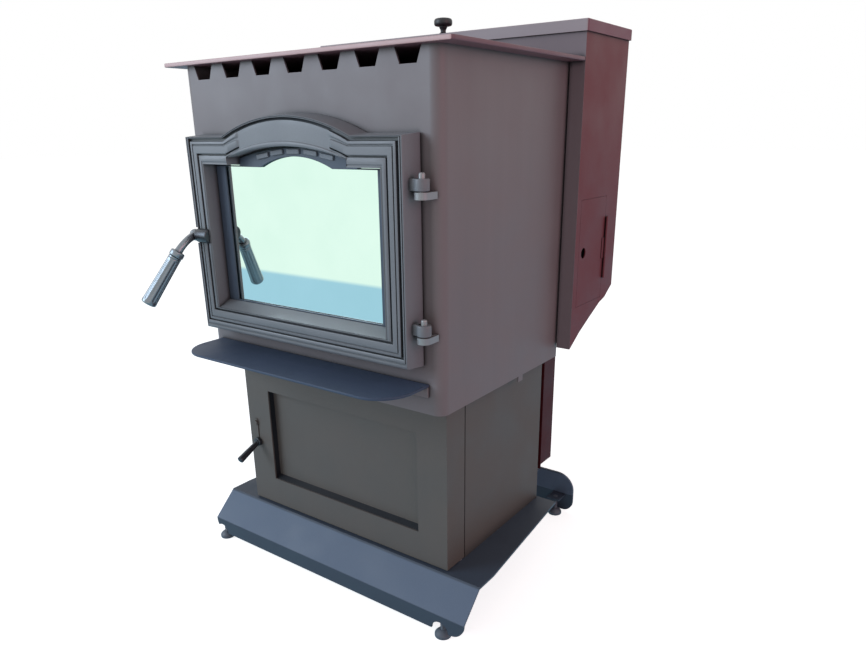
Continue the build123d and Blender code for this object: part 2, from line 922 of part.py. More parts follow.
pot_low = airbox_top - pot_sink
igniter_z = pot_low + igniter_rise
with BuildPart() as burn_pot:
    with BuildSketch(level(pot_low)):
        with Locations((0, pot_y)):
            Rectangle(2 * pot_half_x - pot_taper, 2 * pot_half_y - pot_taper)
    with BuildSketch(level(pot_low + pot_height)):
        with Locations((0, pot_y)):
            Rectangle(2 * (pot_half_x + pot_wall), 2 * (pot_half_y + pot_wall))
    loft(ruled=True)
    block(
        (-pot_half_x - pot_rim, pot_half_x + pot_rim),
        (pot_y - pot_half_y - pot_rim, pot_y + pot_half_y + pot_rim),
        (airbox_top, airbox_top + pot_rim_t),
    )
    with BuildSketch(level(pot_low + pot_wall)):
        with Locations((0, pot_y)):
            Rectangle(2 * (pot_half_x - pot_wall) - pot_taper, 2 * (pot_half_y - pot_wall) - pot_taper)
    with BuildSketch(level(pot_low + pot_height)):
        with Locations((0, pot_y)):
            Rectangle(2 * pot_half_x, 2 * pot_half_y)
    loft(ruled=True, mode=Mode.SUBTRACT)
    # air holes in the grate and one for the igniter
    with BuildSketch(level(pot_low - 1)):
        with Locations((0, pot_y)):
            with GridLocations(grate_pitch, grate_pitch, 4, 4):
                Circle(grate_hole_r)
    extrude(amount=pot_wall + 2, mode=Mode.SUBTRACT)
    rod_y((pot_y, pot_y + pot_half_y + 15), 0, igniter_z, igniter_r + 1.5, mode=Mode.SUBTRACT)
save(burn_pot.part, "burn_pot")

igniter_rear = pot_y + airbox_half_y - airbox_t
with BuildPart() as igniter:
    rod_y((pot_y + pot_half_y - 18, igniter_rear), 0, igniter_z, igniter_r)
    rod_y((igniter_rear - 6, igniter_rear), 0, igniter_z, igniter_r + 6)
save(igniter.part, "igniter")

# heat exchanger: the hot channel under the top plate that the room air crosses to the slots
exchanger_low = casing_top - slot_height - exchanger_drop - exchanger_t
with BuildPart() as heat_exchanger:
    block(
        (-exchanger_half, exchanger_half),
        (inner_front, firebox_rear),
        (exchanger_low, exchanger_low + exchanger_t),
    )
    for side in (-1, 1):
        block(
            tuple(sorted((side * (exchanger_half - exchanger_t), side * exchanger_half))),
            (inner_front, firebox_rear),
            (exchanger_low, casing_top),
        )
save(heat_exchanger.part, "heat_exchanger")

# ---------------------------------------------------------------- feed
with BuildPart() as auger_housing:
    with BuildSketch(auger_plane):
        Circle(auger_tube_r)
    extrude(amount=auger_length)
    block(
        (-throat_half - thin_sheet, throat_half + thin_sheet),
        (casing_rear + thin_sheet + 1, auger_low_y + 5),
        (auger_low_z + 25, throat_top),
    )
    with BuildSketch(auger_plane.offset(4)):
        Circle(auger_tube_r - auger_tube_wall)
    extrude(amount=auger_length, mode=Mode.SUBTRACT)
    block(
        (-throat_half, throat_half),
        (casing_rear + thin_sheet + 3, auger_low_y + 3),
        (auger_low_z + 27, throat_top + 1),
        Mode.SUBTRACT,
    )
    # bearing hole in the closed lower end
    with BuildSketch(auger_plane.offset(-1)):
        Circle(auger_shaft_r + running_gap)
    extrude(amount=10, mode=Mode.SUBTRACT)
save(auger_housing.part, "auger_housing")

# the auger: a shaft with a row of helical flights, each a ruled turn
auger_run = auger_length - auger_end_gap
with BuildPart() as feed_auger:
    with BuildSketch(auger_plane):
        Circle(auger_shaft_r)
    extrude(amount=auger_run)
    flight_count = int((auger_run - auger_end_gap) / (auger_pitch / 2))
    for i in range(flight_count):
        turn = auger_plane.offset(flight_start + i * auger_pitch / 2)
        turn = turn.rotated((flight_tilt, 0, i * 180))
        with BuildSketch(turn):
            Ellipse(auger_flight_r / math.cos(math.radians(flight_tilt)) - 2, auger_flight_r - 2)
        extrude(amount=flight_half_t, both=True)
    with BuildSketch(auger_plane):
        Circle(auger_flight_r + 20)
        Circle(auger_flight_r, mode=Mode.SUBTRACT)
    extrude(amount=auger_run, mode=Mode.SUBTRACT)
save(feed_auger.part, "feed_auger")

with BuildPart() as feed_motor:
    with BuildSketch(auger_plane.offset(-0.5)):
        Rectangle(gearbox_width, gearbox_depth)
        fillet(vertices(), radius=5)
    extrude(amount=-gearbox_length)
    with BuildSketch(auger_plane.offset(-gearbox_length)):
        Circle(feed_motor_r)
    extrude(amount=-(gear_motor_length - gearbox_length))
save(feed_motor.part, "feed_motor")

# ---------------------------------------------------------------- exhaust
with BuildPart() as exhaust_duct:
    block((duct_left, duct_right), (duct_front, duct_rear), (duct_low, duct_high))
    block(
        (duct_left + duct_wall, duct_right - duct_wall),
        (duct_front + duct_wall, duct_rear - duct_wall),
        (duct_low + duct_wall, duct_high - duct_wall),
        Mode.SUBTRACT,
    )
    # neck forward to the firebox outlet
    block(
        (duct_left + outlet_inset - neck_wall, duct_right - outlet_inset + neck_wall),
        (firebox_rear, duct_front + duct_wall),
        (outlet_low - neck_wall, outlet_high + neck_wall),
    )
    block(
        (duct_left + outlet_inset, duct_right - outlet_inset),
        (firebox_rear - 1, duct_front + 5),
        (outlet_low, outlet_high),
        Mode.SUBTRACT,
    )
    rod_x((duct_left - 1, duct_left + 4), fan_y, fan_z, fan_inlet_r, mode=Mode.SUBTRACT)
save(exhaust_duct.part, "exhaust_duct")

fan_left = duct_left - fan_width
with BuildPart() as combustion_fan_housing:
    rod_x((fan_left, duct_left), fan_y, fan_z, fan_r)
    rod_y((fan_y, pedestal_rear - sheet - 1), fan_x, flue_z, flue_r + 3)
    rod_x((fan_left + 3, duct_left - 3), fan_y, fan_z, fan_r - 3, mode=Mode.SUBTRACT)
    rod_y((fan_y + 20, pedestal_rear), fan_x, flue_z, flue_r - flue_wall, mode=Mode.SUBTRACT)
    rod_y((pedestal_rear - 30, pedestal_rear), fan_x, flue_z, flue_r, mode=Mode.SUBTRACT)
    rod_x((duct_left - 5, duct_left + 1), fan_y, fan_z, fan_inlet_r, mode=Mode.SUBTRACT)
    rod_x((fan_left - 1, fan_left + 5), fan_y, fan_z, 4 + running_gap, mode=Mode.SUBTRACT)
save(combustion_fan_housing.part, "combustion_fan_housing")

with BuildPart() as combustion_fan_wheel:
    rod_x((fan_left - 6, duct_left - 24), fan_y, fan_z, 4)
    rod_x((fan_left + 8, fan_left + 11), fan_y, fan_z, fan_wheel_r)
    with BuildSketch(facing_right(fan_left + 11)):
        with Locations((fan_y, fan_z)):
            with PolarLocations(fan_blade_mid, 8):
                Rectangle(fan_blade_length, 2.5)
    extrude(amount=38)
save(combustion_fan_wheel.part, "combustion_fan_wheel")

with BuildPart() as combustion_fan_motor:
    rod_x((fan_left - 62, fan_left - 8), fan_y, fan_z, 34)
    rod_x((fan_left - 8, fan_left), fan_y, fan_z, 20)
    rod_x((fan_left - 7, fan_left), fan_y, fan_z, 5, mode=Mode.SUBTRACT)
save(combustion_fan_motor.part, "combustion_fan_motor")

with BuildPart() as flue_tailpipe:
    rod_y((pedestal_rear - 30, flue_end), fan_x, flue_z, flue_r)
    rod_y((flue_end - flue_insert - bead_width, flue_end - flue_insert), fan_x, flue_z, flue_r + 1.5)
    rod_y((pedestal_rear - 31, flue_end + 1), fan_x, flue_z, flue_r - flue_wall, mode=Mode.SUBTRACT)
save(flue_tailpipe.part, "flue_tailpipe")

with BuildPart() as air_intake_pipe:
    rod_y((0, intake_end), intake_x, intake_z, intake_r)
    bead_rear = intake_end - intake_insert
    rod_y((bead_rear - bead_width, bead_rear), intake_x, intake_z, intake_r + 1.5)
    rod_y((-1, intake_end + 1), intake_x, intake_z, intake_r - 1.5, mode=Mode.SUBTRACT)
save(air_intake_pipe.part, "air_intake_pipe")

# ---------------------------------------------------------------- room-air blower
blower_left = blower_x - blower_width / 2
blower_right = blower_x + blower_width / 2
with BuildPart() as room_blower_housing:
    rod_x((blower_left, blower_right), blower_y, blower_z, blower_r)
    block(
        (blower_left, blower_right),
        (blower_y, blower_y + blower_r),
        (blower_z, blower_z + blower_outlet_rise),
    )
    hollow_x = (blower_left + thin_sheet, blower_right - thin_sheet)
    rod_x(hollow_x, blower_y, blower_z, blower_r - thin_sheet, mode=Mode.SUBTRACT)
    block(
        hollow_x,
        (blower_y + 10, blower_y + blower_r - thin_sheet),
        (blower_z, blower_z + blower_outlet_rise + 1),
        Mode.SUBTRACT,
    )
    rod_x((blower_left - 1, blower_left + 3), blower_y, blower_z, blower_eye_r, mode=Mode.SUBTRACT)
    bearing_r = blower_shaft_r + running_gap
    rod_x((blower_right - 3, blower_right + 1), blower_y, blower_z, bearing_r, mode=Mode.SUBTRACT)
    block(
        (blower_left, blower_right),
        (blower_y - 20, blower_y + 20),
        (casing_low + sheet, blower_z - blower_r + 3),
    )
save(room_blower_housing.part, "room_blower_housing")

with BuildPart() as room_blower_wheel:
    rod_x((blower_left + 20, blower_right + 6), blower_y, blower_z, blower_shaft_r)
    rod_x((blower_right - 14, blower_right - 11), blower_y, blower_z, blower_wheel_r)
    with BuildSketch(facing_right(blower_left + 12)):
        with Locations((blower_y, blower_z)):
            with PolarLocations(blower_wheel_r - blower_ring_t / 2, blower_blades):
                Rectangle(10, 1.8)
    extrude(amount=blower_width - 26)
    with BuildSketch(facing_right(blower_left + 10)):
        with Locations((blower_y, blower_z)):
            Circle(blower_wheel_r)
            Circle(blower_wheel_r - blower_ring_t, mode=Mode.SUBTRACT)
    extrude(amount=3)
save(room_blower_wheel.part, "room_blower_wheel")

with BuildPart() as room_blower_motor:
    motor_x = blower_right + 8
    rod_x((motor_x, motor_x + blower_motor_length), blower_y, blower_z, blower_motor_r)
    rod_x((blower_right, motor_x), blower_y, blower_z, blower_motor_r / 2)
    rod_x((blower_right, blower_right + 7), blower_y, blower_z, blower_shaft_r + 1, mode=Mode.SUBTRACT)
save(room_blower_motor.part, "room_blower_motor")

# ---------------------------------------------------------------- ash compartment
with BuildPart() as ash_compartment:
    block((-comp_half, comp_half), (comp_front, comp_rear), (base_z, casing_low))
    block(
        (-comp_half + thin_sheet, comp_half - thin_sheet),
        (comp_front - 1, comp_rear - thin_sheet),
        (base_z + thin_sheet, casing_low - thin_sheet),
        Mode.SUBTRACT,
    )
    # open above, under the ash drops
    for hole_x in ash_hole_spots:
        block(
            hole_x,
            (ash_hole_front, ash_hole_rear),
            (casing_low - 5, casing_low + 1),
            Mode.SUBTRACT,
        )
save(ash_compartment.part, "ash_compartment")

pan_front = comp_front + 6
pan_rear = comp_rear - 8
pan_low = base_z + thin_sheet
pan_length = pan_rear - pan_front
with BuildPart() as ash_pan:
    with BuildSketch(level(pan_low)):
        with Locations((0, (pan_front + pan_rear) / 2)):
            Rectangle(2 * pan_half - pan_taper_x, pan_length - pan_taper_y)
    with BuildSketch(level(pan_low + pan_height)):
        with Locations((0, (pan_front + pan_rear) / 2)):
            Rectangle(2 * pan_half, pan_length)
    loft(ruled=True)
    with BuildSketch(level(pan_low + pan_t)):
        with Locations((0, (pan_front + pan_rear) / 2)):
            Rectangle(2 * (pan_half - pan_t) - pan_taper_x, pan_length - 2 * pan_t - pan_taper_y)
    with BuildSketch(level(pan_low + pan_height)):
        with Locations((0, (pan_front + pan_rear) / 2)):
            Rectangle(2 * (pan_half - pan_t), pan_length - 2 * pan_t)
    loft(ruled=True, mode=Mode.SUBTRACT)
save(ash_pan.part, "ash_pan")

# ---------------------------------------------------------------- ash door
back_y = ash_door_rear - 1
with BuildPart() as ash_door_frame:
    block(
        (-pedestal_half, pedestal_half),
        (ash_door_front, ash_door_rear),
        (ash_door_low, ash_door_high),
    )
    block(
        (-pedestal_half + sheet, pedestal_half - sheet),
        (ash_door_front + sheet, ash_door_rear + 1),
        (ash_door_low + sheet, ash_door_high - sheet),
        Mode.SUBTRACT,
    )
    # window that shows the tray
    with BuildSketch(facing_front(ash_door_front + sheet + 1)):
        with Locations((0, (ash_open_low + ash_open_high) / 2)):
            Rectangle(2 * ash_open_half, ash_open_high - ash_open_low)
    extrude(amount=sheet + 2, mode=Mode.SUBTRACT)
    # sheet that closes the door's back, short of the hinge side
    block(
        (-pedestal_half + sheet, pedestal_half - sheet - 18),
        (back_y - back_t, back_y),
        (ash_door_low + sheet, ash_door_high - sheet),
    )
    # plate and bolt head above the latch
    block(
        (ash_latch_x - 6, ash_latch_x + 1),
        (ash_door_front - 2, ash_door_front),
        (ash_latch_z + 10, ash_latch_z + 50),
    )
    rod_y((ash_door_front - 5, ash_door_front), ash_latch_x - 3, ash_latch_z + 42, 5)
    # holes for the pivot pins and the latch shaft
    rod_z(
        (ash_door_low - 1, ash_door_high + 1),
        ash_pin_x,
        ash_pin_y,
        ash_pin_r + running_gap,
        mode=Mode.SUBTRACT,
    )
    rod_y(
        (ash_door_front - 1, ash_door_rear + 1),
        ash_latch_x,
        ash_latch_z,
        ash_latch_r + running_gap,
        mode=Mode.SUBTRACT,
    )
save(ash_door_frame.part, "ash_door_frame")

panel_y = ash_door_front + ash_recess
with BuildPart() as ash_door_panel:
    block(
        (-ash_open_half - ash_pan_flange, ash_open_half + ash_pan_flange),
        (ash_door_front + sheet, ash_door_front + sheet + ash_panel_t),
        (ash_open_low - ash_pan_flange, ash_open_high + ash_pan_flange),
    )
    block(
        (-ash_open_half - ash_panel_t, ash_open_half + ash_panel_t),
        (ash_door_front + sheet, panel_y + ash_panel_t),
        (ash_open_low - ash_panel_t, ash_open_high + ash_panel_t),
    )
    # the tray's hollow, its lower wall sloped as a bevel
    with BuildSketch(facing_right(-ash_open_half)):
        with BuildLine():
            Polyline(
                (ash_door_front + sheet - 1, ash_open_low),
                (ash_door_front + sheet, ash_open_low),
                (panel_y, ash_open_low + 6),
                (panel_y, ash_open_high),
                (ash_door_front + sheet - 1, ash_open_high),
                close=True,
            )
        make_face()
    extrude(amount=2 * ash_open_half, mode=Mode.SUBTRACT)
save(ash_door_panel.part, "ash_door_panel")

rope_depth = comp_front - back_y - 2 * seat_gap
with BuildPart() as ash_door_rope:
    rope_half = comp_half - 4
    rope_low = base_z + 12
    rope_high = casing_low - 10
    with BuildSketch(facing_front(comp_front - seat_gap)):
        with Locations((0, (rope_low + rope_high) / 2)):
            Rectangle(2 * rope_half, rope_high - rope_low)
            fillet(vertices(), radius=18)
            Rectangle(2 * rope_half - 16, rope_high - rope_low - 16, mode=Mode.SUBTRACT)
    extrude(amount=rope_depth)
save(ash_door_rope.part, "ash_door_rope")

with BuildPart() as ash_door_pins:
    rod_z((base_z, ash_door_low), ash_pin_x, ash_pin_y, ash_pin_r + 4)
    rod_z((base_z, ash_door_low + sheet + 4), ash_pin_x, ash_pin_y, ash_pin_r)
    rod_z((ash_door_high - sheet - 4, casing_low), ash_pin_x, ash_pin_y, ash_pin_r)
save(ash_door_pins.part, "ash_door_pins")

latch_start = (ash_latch_x, ash_door_front - 3, ash_latch_z)
latch_end = (ash_latch_x, ash_door_front - ash_lever_reach, ash_latch_z - ash_lever_drop)
lever_vector = tuple(b - a for a, b in zip(latch_start, latch_end))
lever_length = math.dist(latch_start, latch_end)
cam_front = pedestal_front + 2.5
with BuildPart() as ash_door_latch:
    rod_y((ash_door_front - 10, cam_front + 4), ash_latch_x, ash_latch_z, ash_latch_r)
    rod_y((ash_door_front - 8, ash_door_front - 0.2), ash_latch_x, ash_latch_z, 9)
    with BuildSketch(Plane(origin=latch_start, z_dir=lever_vector)):
        Circle(ash_lever_r)
    extrude(amount=lever_length)
    fillet(ash_door_latch.edges().group_by(Axis.Y)[0], radius=3)
    block(
        (ash_latch_x - 6, ash_latch_x + 6),
        (cam_front, cam_front + 4),
        (ash_latch_z - 6, ash_latch_z + ash_cam_r),
    )
save(ash_door_latch.part, "ash_door_latch")

# ---------------------------------------------------------------- load door
door_face = (door_half, door_low, door_shoulder, door_arch_half, door_shoulder, door_peak)
groove_out = (229.4, door_low + 14, door_shoulder - 2.7, 139.5, door_shoulder - 2.7, door_peak - 3.5)
groove_in = (224.7, door_low + 17, door_shoulder - 7.7, 137.5, door_shoulder - 7.7, door_peak - 7.5)
reveal = (
    door_reveal_half,
    door_reveal_low,
    door_reveal_shoulder,
    door_inner_arch_half,
    door_inner_arch_foot,
    door_inner_arch_peak,
)
glass_view = (
    glass_view_half,
    glass_view_low,
    glass_view_shoulder,
    glass_view_arch_half,
    glass_view_shoulder,
    glass_view_peak,
)
glass_front = door_rear - door_ledge_t - glass_t
retainer_front = glass_front - retainer_t
with BuildPart() as load_door:
    with BuildSketch(facing_front(door_rear)):
        arched_outline(door_face, inset=-door_draft)
    with BuildSketch(facing_front(door_front)):
        arched_outline(door_face)
    loft(ruled=True)
    # step groove inside the outline, shallow groove round the window
    with BuildSketch(facing_front(door_front + 3)):
        arched_outline(groove_out)
        arched_outline(groove_in, mode=Mode.SUBTRACT)
    extrude(amount=4, mode=Mode.SUBTRACT)
    with BuildSketch(facing_front(door_front + 1.5)):
        arched_outline(reveal, inset=-13.5)
        arched_outline(reveal, inset=-10.5, mode=Mode.SUBTRACT)
    extrude(amount=3, mode=Mode.SUBTRACT)
    # window, with a ledge left at the back for the glass
    with BuildSketch(facing_front(door_rear - door_ledge_t)):
        arched_outline(reveal)
    extrude(amount=door_rear - door_front, mode=Mode.SUBTRACT)
    with BuildSketch(facing_front(door_rear + 1)):
        arched_outline(glass_view)
    extrude(amount=door_rear - door_front, mode=Mode.SUBTRACT)
    # sloped sill in front of the glass
    with BuildSketch(facing_right(-door_reveal_half)):
        with BuildLine():
            Polyline(
                (door_front, door_reveal_low),
                (retainer_front - 1, door_reveal_low + sill_rise),
                (retainer_front - 1, door_reveal_low - 1),
                (door_front, door_reveal_low - 1),
                close=True,
            )
        make_face()
    extrude(amount=2 * door_reveal_half)
    # pocket and boss for the handle
    block(
        (-door_half - 10, handle_boss_out),
        (door_front - 1, handle_y + handle_hub_r + 5),
        (handle_z - 14, handle_z + 14),
        Mode.SUBTRACT,
    )
    rod_x((handle_boss_out, handle_boss_in), handle_y, handle_z, handle_boss_r)
    rod_x(
        (handle_boss_out - 1, handle_boss_in - 5),
        handle_y,
        handle_z,
        handle_shaft_r + running_gap,
        mode=Mode.SUBTRACT,
    )
    # hinge lugs on the right edge, with their knuckles
    for hinge_z in (hinge_upper_z, hinge_lower_z):
        knuckle_low = hinge_z + hinge_knuckle_h + hinge_knuckle_gap
        knuckle_high = knuckle_low + hinge_door_knuckle_h
        block((door_half - 6, hinge_x), (hinge_y - 6, hinge_y + 6), (knuckle_low, knuckle_high))
        rod_z((knuckle_low, knuckle_high), hinge_x, hinge_y, hinge_knuckle_r)
        rod_z(
            (knuckle_low - 1, knuckle_high + 1),
            hinge_x,
            hinge_y,
            hinge_pin_r + running_gap,
            mode=Mode.SUBTRACT,
        )
save(load_door.part, "load_door")

with BuildPart() as door_glass:
    with BuildSketch(facing_front(glass_front + glass_t)):
        arched_outline(glass_view, inset=-glass_lap)
    extrude(amount=glass_t)
save(door_glass.part, "door_glass")

pad_spots = [(-71, 799.5, 9), (-37, 805, 6), (0, 806.7, 0), (38, 805, -6), (72, 799.5, -9)]
with BuildPart() as glass_retainer:
    with BuildSketch(facing_front(glass_front)):
        arched_outline(reveal, inset=retainer_gap)
        arched_outline(glass_view, mode=Mode.SUBTRACT)
    extrude(amount=retainer_t)
    with BuildSketch(facing_front(retainer_front)):
        for pad_x, pad_z, pad_turn in pad_spots:
            with Locations(Location((pad_x, pad_z, 0), (0, 0, pad_turn))):
                Rectangle(pad_length, pad_height)
    extrude(amount=pad_t)
save(glass_retainer.part, "glass_retainer")

door_seal = (219.0, 514.0, 822.0, 130.0, 822.0, 850.0)
with BuildPart() as door_rope:
    with BuildSketch(facing_front(casing_front - seat_gap)):
        arched_outline(door_seal)
        arched_outline(door_seal, inset=rope_width, mode=Mode.SUBTRACT)
    extrude(amount=casing_front - door_rear - seat_gap)
save(door_rope.part, "door_rope")

# ---------------------------------------------------------------- door handle
released = math.radians(-hook_turn)


def turned(y, z):
    """A point beside the handle's axis, turned down to the released position."""
    new_y = y * math.cos(released) - z * math.sin(released)
    new_z = y * math.sin(released) + z * math.cos(released)
    return (handle_y + new_y, handle_z + new_z)


grip_level = math.cos(math.radians(grip_tilt))
grip_axis = (
    -grip_level * math.sin(math.radians(grip_splay)),
    -grip_level * math.cos(math.radians(grip_splay)),
    -math.sin(math.radians(grip_tilt)),
)
hub_centre = (handle_x, handle_y, handle_z)
collar_centre = (collar_x, collar_y, collar_z)
neck_vector = tuple(b - a for a, b in zip(hub_centre, collar_centre))
collar_plane = Plane(origin=collar_centre, z_dir=grip_axis)
with BuildPart() as door_handle:
    # the ball's poles lie on the shaft's axis
    with Locations(Location(hub_centre, (0, 90, 0))):
        Sphere(handle_hub_r)
    rod_x((handle_x, handle_boss_in - 6), handle_y, handle_z, handle_shaft_r)
    with BuildSketch(Plane(origin=hub_centre, z_dir=neck_vector)):
        Circle(neck_r)
    extrude(amount=math.dist(hub_centre, collar_centre))
    with BuildSketch(collar_plane.offset(-collar_back)):
        Circle(collar_r)
    extrude(amount=collar_back + collar_t)
    with BuildSketch(collar_plane.offset(collar_t)):
        Circle(grip_core_r)
    extrude(amount=handle_grip_len)
    # hook that turns up behind the keeper's pin
    with BuildSketch(facing_right(hook_x)):
        with BuildLine():
            Polyline(
                turned(0, -4),
                turned(hook_reach, -4),
                turned(hook_reach, hook_tip),
                turned(hook_reach - 4.5, hook_tip),
                turned(hook_reach - 4.5, 4),
                turned(0, 4),
                close=True,
            )
        make_face()
    extrude(amount=hook_t)
save(door_handle.part, "door_handle")

with BuildPart() as door_handle_grip:
    with BuildSketch(collar_plane.offset(collar_t)):
        Circle(handle_grip_r)
    extrude(amount=handle_grip_len)
    fillet(door_handle_grip.edges().filter_by(GeomType.CIRCLE), radius=3)
    with BuildSketch(collar_plane.offset(collar_t)):
        Circle(grip_core_r)
    extrude(amount=handle_grip_len, mode=Mode.SUBTRACT)
save(door_handle_grip.part, "door_handle_grip")

keeper_y = handle_y + hook_reach - 4.5 - hook_gap - keeper_pin_r
keeper_z = handle_z + 4 + hook_gap + keeper_pin_r
keeper_left = hook_x - 6
with BuildPart() as door_keeper:
    block(
        (keeper_left - 10, keeper_left + 3),
        (casing_front - 2, casing_front),
        (keeper_z - 16, keeper_z + 16),
    )
    block(
        (keeper_left, keeper_left + 3),
        (keeper_y - 4, casing_front - 2),
        (keeper_z - 5, keeper_z + 6),
    )
    rod_x((keeper_left, hook_x + hook_t + 1), keeper_y, keeper_z, keeper_pin_r)
save(door_keeper.part, "door_keeper")

# ---------------------------------------------------------------- door hinges
with BuildPart() as door_hinge_brackets:
    for hinge_z in (hinge_upper_z, hinge_lower_z):
        block(
            (hinge_x + 3, hinge_x + 11),
            (hinge_y, casing_front),
            (hinge_z, hinge_z + hinge_knuckle_h),
        )
        rod_z((hinge_z, hinge_z + hinge_knuckle_h), hinge_x, hinge_y, hinge_knuckle_r)
        rod_z(
            (hinge_z - 1, hinge_z + hinge_knuckle_h + 1),
            hinge_x,
            hinge_y,
            hinge_pin_r,
            mode=Mode.SUBTRACT,
        )
save(door_hinge_brackets.part, "door_hinge_brackets")

with BuildPart() as door_hinge_pins:
    for hinge_z in (hinge_upper_z, hinge_lower_z):
        pin_top = hinge_z + hinge_knuckle_h + hinge_door_knuckle_h + 2 * hinge_knuckle_gap
        rod_z((hinge_z, pin_top + hinge_pin_head_h), hinge_x, hinge_y, hinge_pin_r)
save(door_hinge_pins.part, "door_hinge_pins")

# ---------------------------------------------------------------- hopper
flange_in = casing_half + 4
side_in = hopper_half - thin_sheet
with BuildPart() as hopper_shell:
    block(
        (-hopper_half, hopper_half),
        (hopper_front, hopper_rear),
        (hopper_front_low, hopper_rim),
    )
    block(
        (-side_in, side_in),
        (hopper_front + thin_sheet, hopper_rear - thin_sheet),
        (hopper_front_low - 1, hopper_rim + 1),
        Mode.SUBTRACT,
    )
    # open front below the top plate, leaving a flange at each side
    block(
        (-flange_in, flange_in),
        (hopper_front - 1, hopper_front + thin_sheet + 1),
        (hopper_front_low - 1, casing_top),
        Mode.SUBTRACT,
    )
    # slanted lower edge
    with BuildSketch(facing_right(-hopper_half - 1)):
        with BuildLine():
            Polyline(
                *slant,
                (hopper_rear + 1, hopper_rear_low),
                (hopper_rear + 1, hopper_front_low - 5),
                (hopper_front - 1, hopper_front_low - 5),
                (hopper_front - 1, hopper_front_low),
                close=True,
            )
        make_face()
    extrude(amount=2 * hopper_half + 2, mode=Mode.SUBTRACT)
    # opening for the side access panel
    block(
        (side_in - 1, hopper_half + 1),
        (panel_front - panel_gap, panel_rear + panel_gap),
        (panel_low - panel_gap, panel_high + panel_gap),
        Mode.SUBTRACT,
    )
save(hopper_shell.part, "hopper_shell")

with BuildPart() as hopper_bottom_panel:
    with BuildSketch(facing_right(-side_in)):
        with BuildLine():
            low_edge = [(casing_rear, slant_at_casing), *slant[1:]]
            low_edge[-1] = (hopper_rear - thin_sheet, hopper_rear_low - 3.5)
            high_edge = [(y, z + thin_sheet) for y, z in reversed(low_edge)]
            Polyline(*low_edge, *high_edge, close=True)
        make_face()
    extrude(amount=2 * side_in)
save(hopper_bottom_panel.part, "hopper_bottom_panel")

liner_high = hopper_rim - 10
liner_in_x = hopper_half - 20
liner_in_front = hopper_front + 20
liner_in_rear = hopper_rear - 16
throat_front = casing_rear + thin_sheet + 1
throat_rear = auger_low_y + 5


def funnel(wall):
    """Straight walls above, tapering to the throat, drawn with the given wall inside."""
    middle_y = (liner_in_front + liner_in_rear) / 2
    throat_y = (throat_front + throat_rear) / 2
    with BuildSketch(level(funnel_top)) as mouth:
        with Locations((0, middle_y)):
            Rectangle(2 * (liner_in_x - wall), liner_in_rear - liner_in_front - 2 * wall)
    with BuildSketch(level(throat_top)) as throat:
        with Locations((0, throat_y)):
            Rectangle(2 * (throat_half + 2 - wall), throat_rear - throat_front - 2 * wall)
    mode = Mode.SUBTRACT if wall else Mode.ADD
    loft([throat.sketch, mouth.sketch], ruled=True, mode=mode)
    block(
        (-liner_in_x + wall, liner_in_x - wall),
        (liner_in_front + wall, liner_in_rear - wall),
        (funnel_top, liner_high + (1 if wall else 0)),
        mode,
    )


with BuildPart() as hopper_liner:
    funnel(0)
    block(
        (-side_in + seat_gap, side_in - seat_gap),
        (hopper_front + thin_sheet + seat_gap, hopper_rear - thin_sheet - seat_gap),
        (liner_high - liner_t, liner_high),
    )
    funnel(liner_t)
save(hopper_liner.part, "hopper_liner")

lid_front = hopper_front - lid_clearance - lid_t
lid_rear = hopper_rear + lid_clearance + lid_t
lid_under = hopper_rim + seat_gap
lid_top = lid_under + lid_t
lid_low = lid_top - lid_height
lid_axis_y = lid_rear + 1.5 + small_hinge_r
lid_axis_z = lid_low - 2
lid_hinge_spots = (-150.0, 150.0)
with BuildPart() as hopper_lid:
    block((-lid_half, lid_half), (lid_front, lid_rear), (lid_low, lid_top))
    fillet(hopper_lid.edges().filter_by(Axis.Z), radius=4)
    fillet(hopper_lid.edges().group_by(Axis.Z)[-1], radius=2)
    block(
        (-lid_half + lid_t, lid_half - lid_t),
        (lid_front + lid_t, lid_rear - lid_t),
        (lid_low - 1, lid_under),
        Mode.SUBTRACT,
    )
    for spot in lid_hinge_spots:
        for shift in (-lid_knuckle - 0.5, lid_knuckle + 0.5):
            left = spot + shift - lid_knuckle / 2
            block(
                (left, left + lid_knuckle),
                (lid_rear - 0.2, lid_rear + 2.6),
                (lid_axis_z, lid_low + 12),
            )
            rod_x((left, left + lid_knuckle), lid_axis_y, lid_axis_z, small_hinge_r)
            rod_x(
                (left - 0.2, left + lid_knuckle + 0.2),
                lid_axis_y,
                lid_axis_z,
                small_pin_r + running_gap,
                mode=Mode.SUBTRACT,
            )
save(hopper_lid.part, "hopper_lid")

with BuildPart() as lid_hinges:
    for spot in lid_hinge_spots:
        block(
            (spot - lid_knuckle / 2, spot + lid_knuckle / 2),
            (hopper_rear, lid_axis_y),
            (lid_axis_z - 3, lid_axis_z - 1.6),
        )
        block(
            (spot - lid_knuckle / 2, spot + lid_knuckle / 2),
            (hopper_rear, hopper_rear + 1.2),
            (lid_axis_z - 36, lid_axis_z - 1.6),
        )
        rod_x(
            (spot - lid_knuckle / 2, spot + lid_knuckle / 2),
            lid_axis_y,
            lid_axis_z,
            small_hinge_r,
        )
        rod_x(
            (spot - 1.5 * lid_knuckle - 0.5, spot + 1.5 * lid_knuckle + 0.5),
            lid_axis_y,
            lid_axis_z,
            small_pin_r,
        )
save(lid_hinges.part, "lid_hinges")

with BuildPart() as lid_knob:
    with BuildSketch(Plane(origin=(0, knob_y, lid_top), x_dir=(1, 0, 0), z_dir=(0, -1, 0))):
        with BuildLine():
            Polyline(
                (0, 0),
                (9, 0),
                (8, 2),
                (5, 4),
                (5, 8),
                (7.3, 11),
                (8, 14),
                (knob_r - 2, 15),
                (knob_r, 19),
                (knob_r, 24),
                (knob_r - 2.5, 27.2),
                (0, 28.8),
                close=True,
            )
        make_face()
    revolve(axis=Axis((0, knob_y, lid_top), (0, 0, 1)))
save(lid_knob.part, "lid_knob")

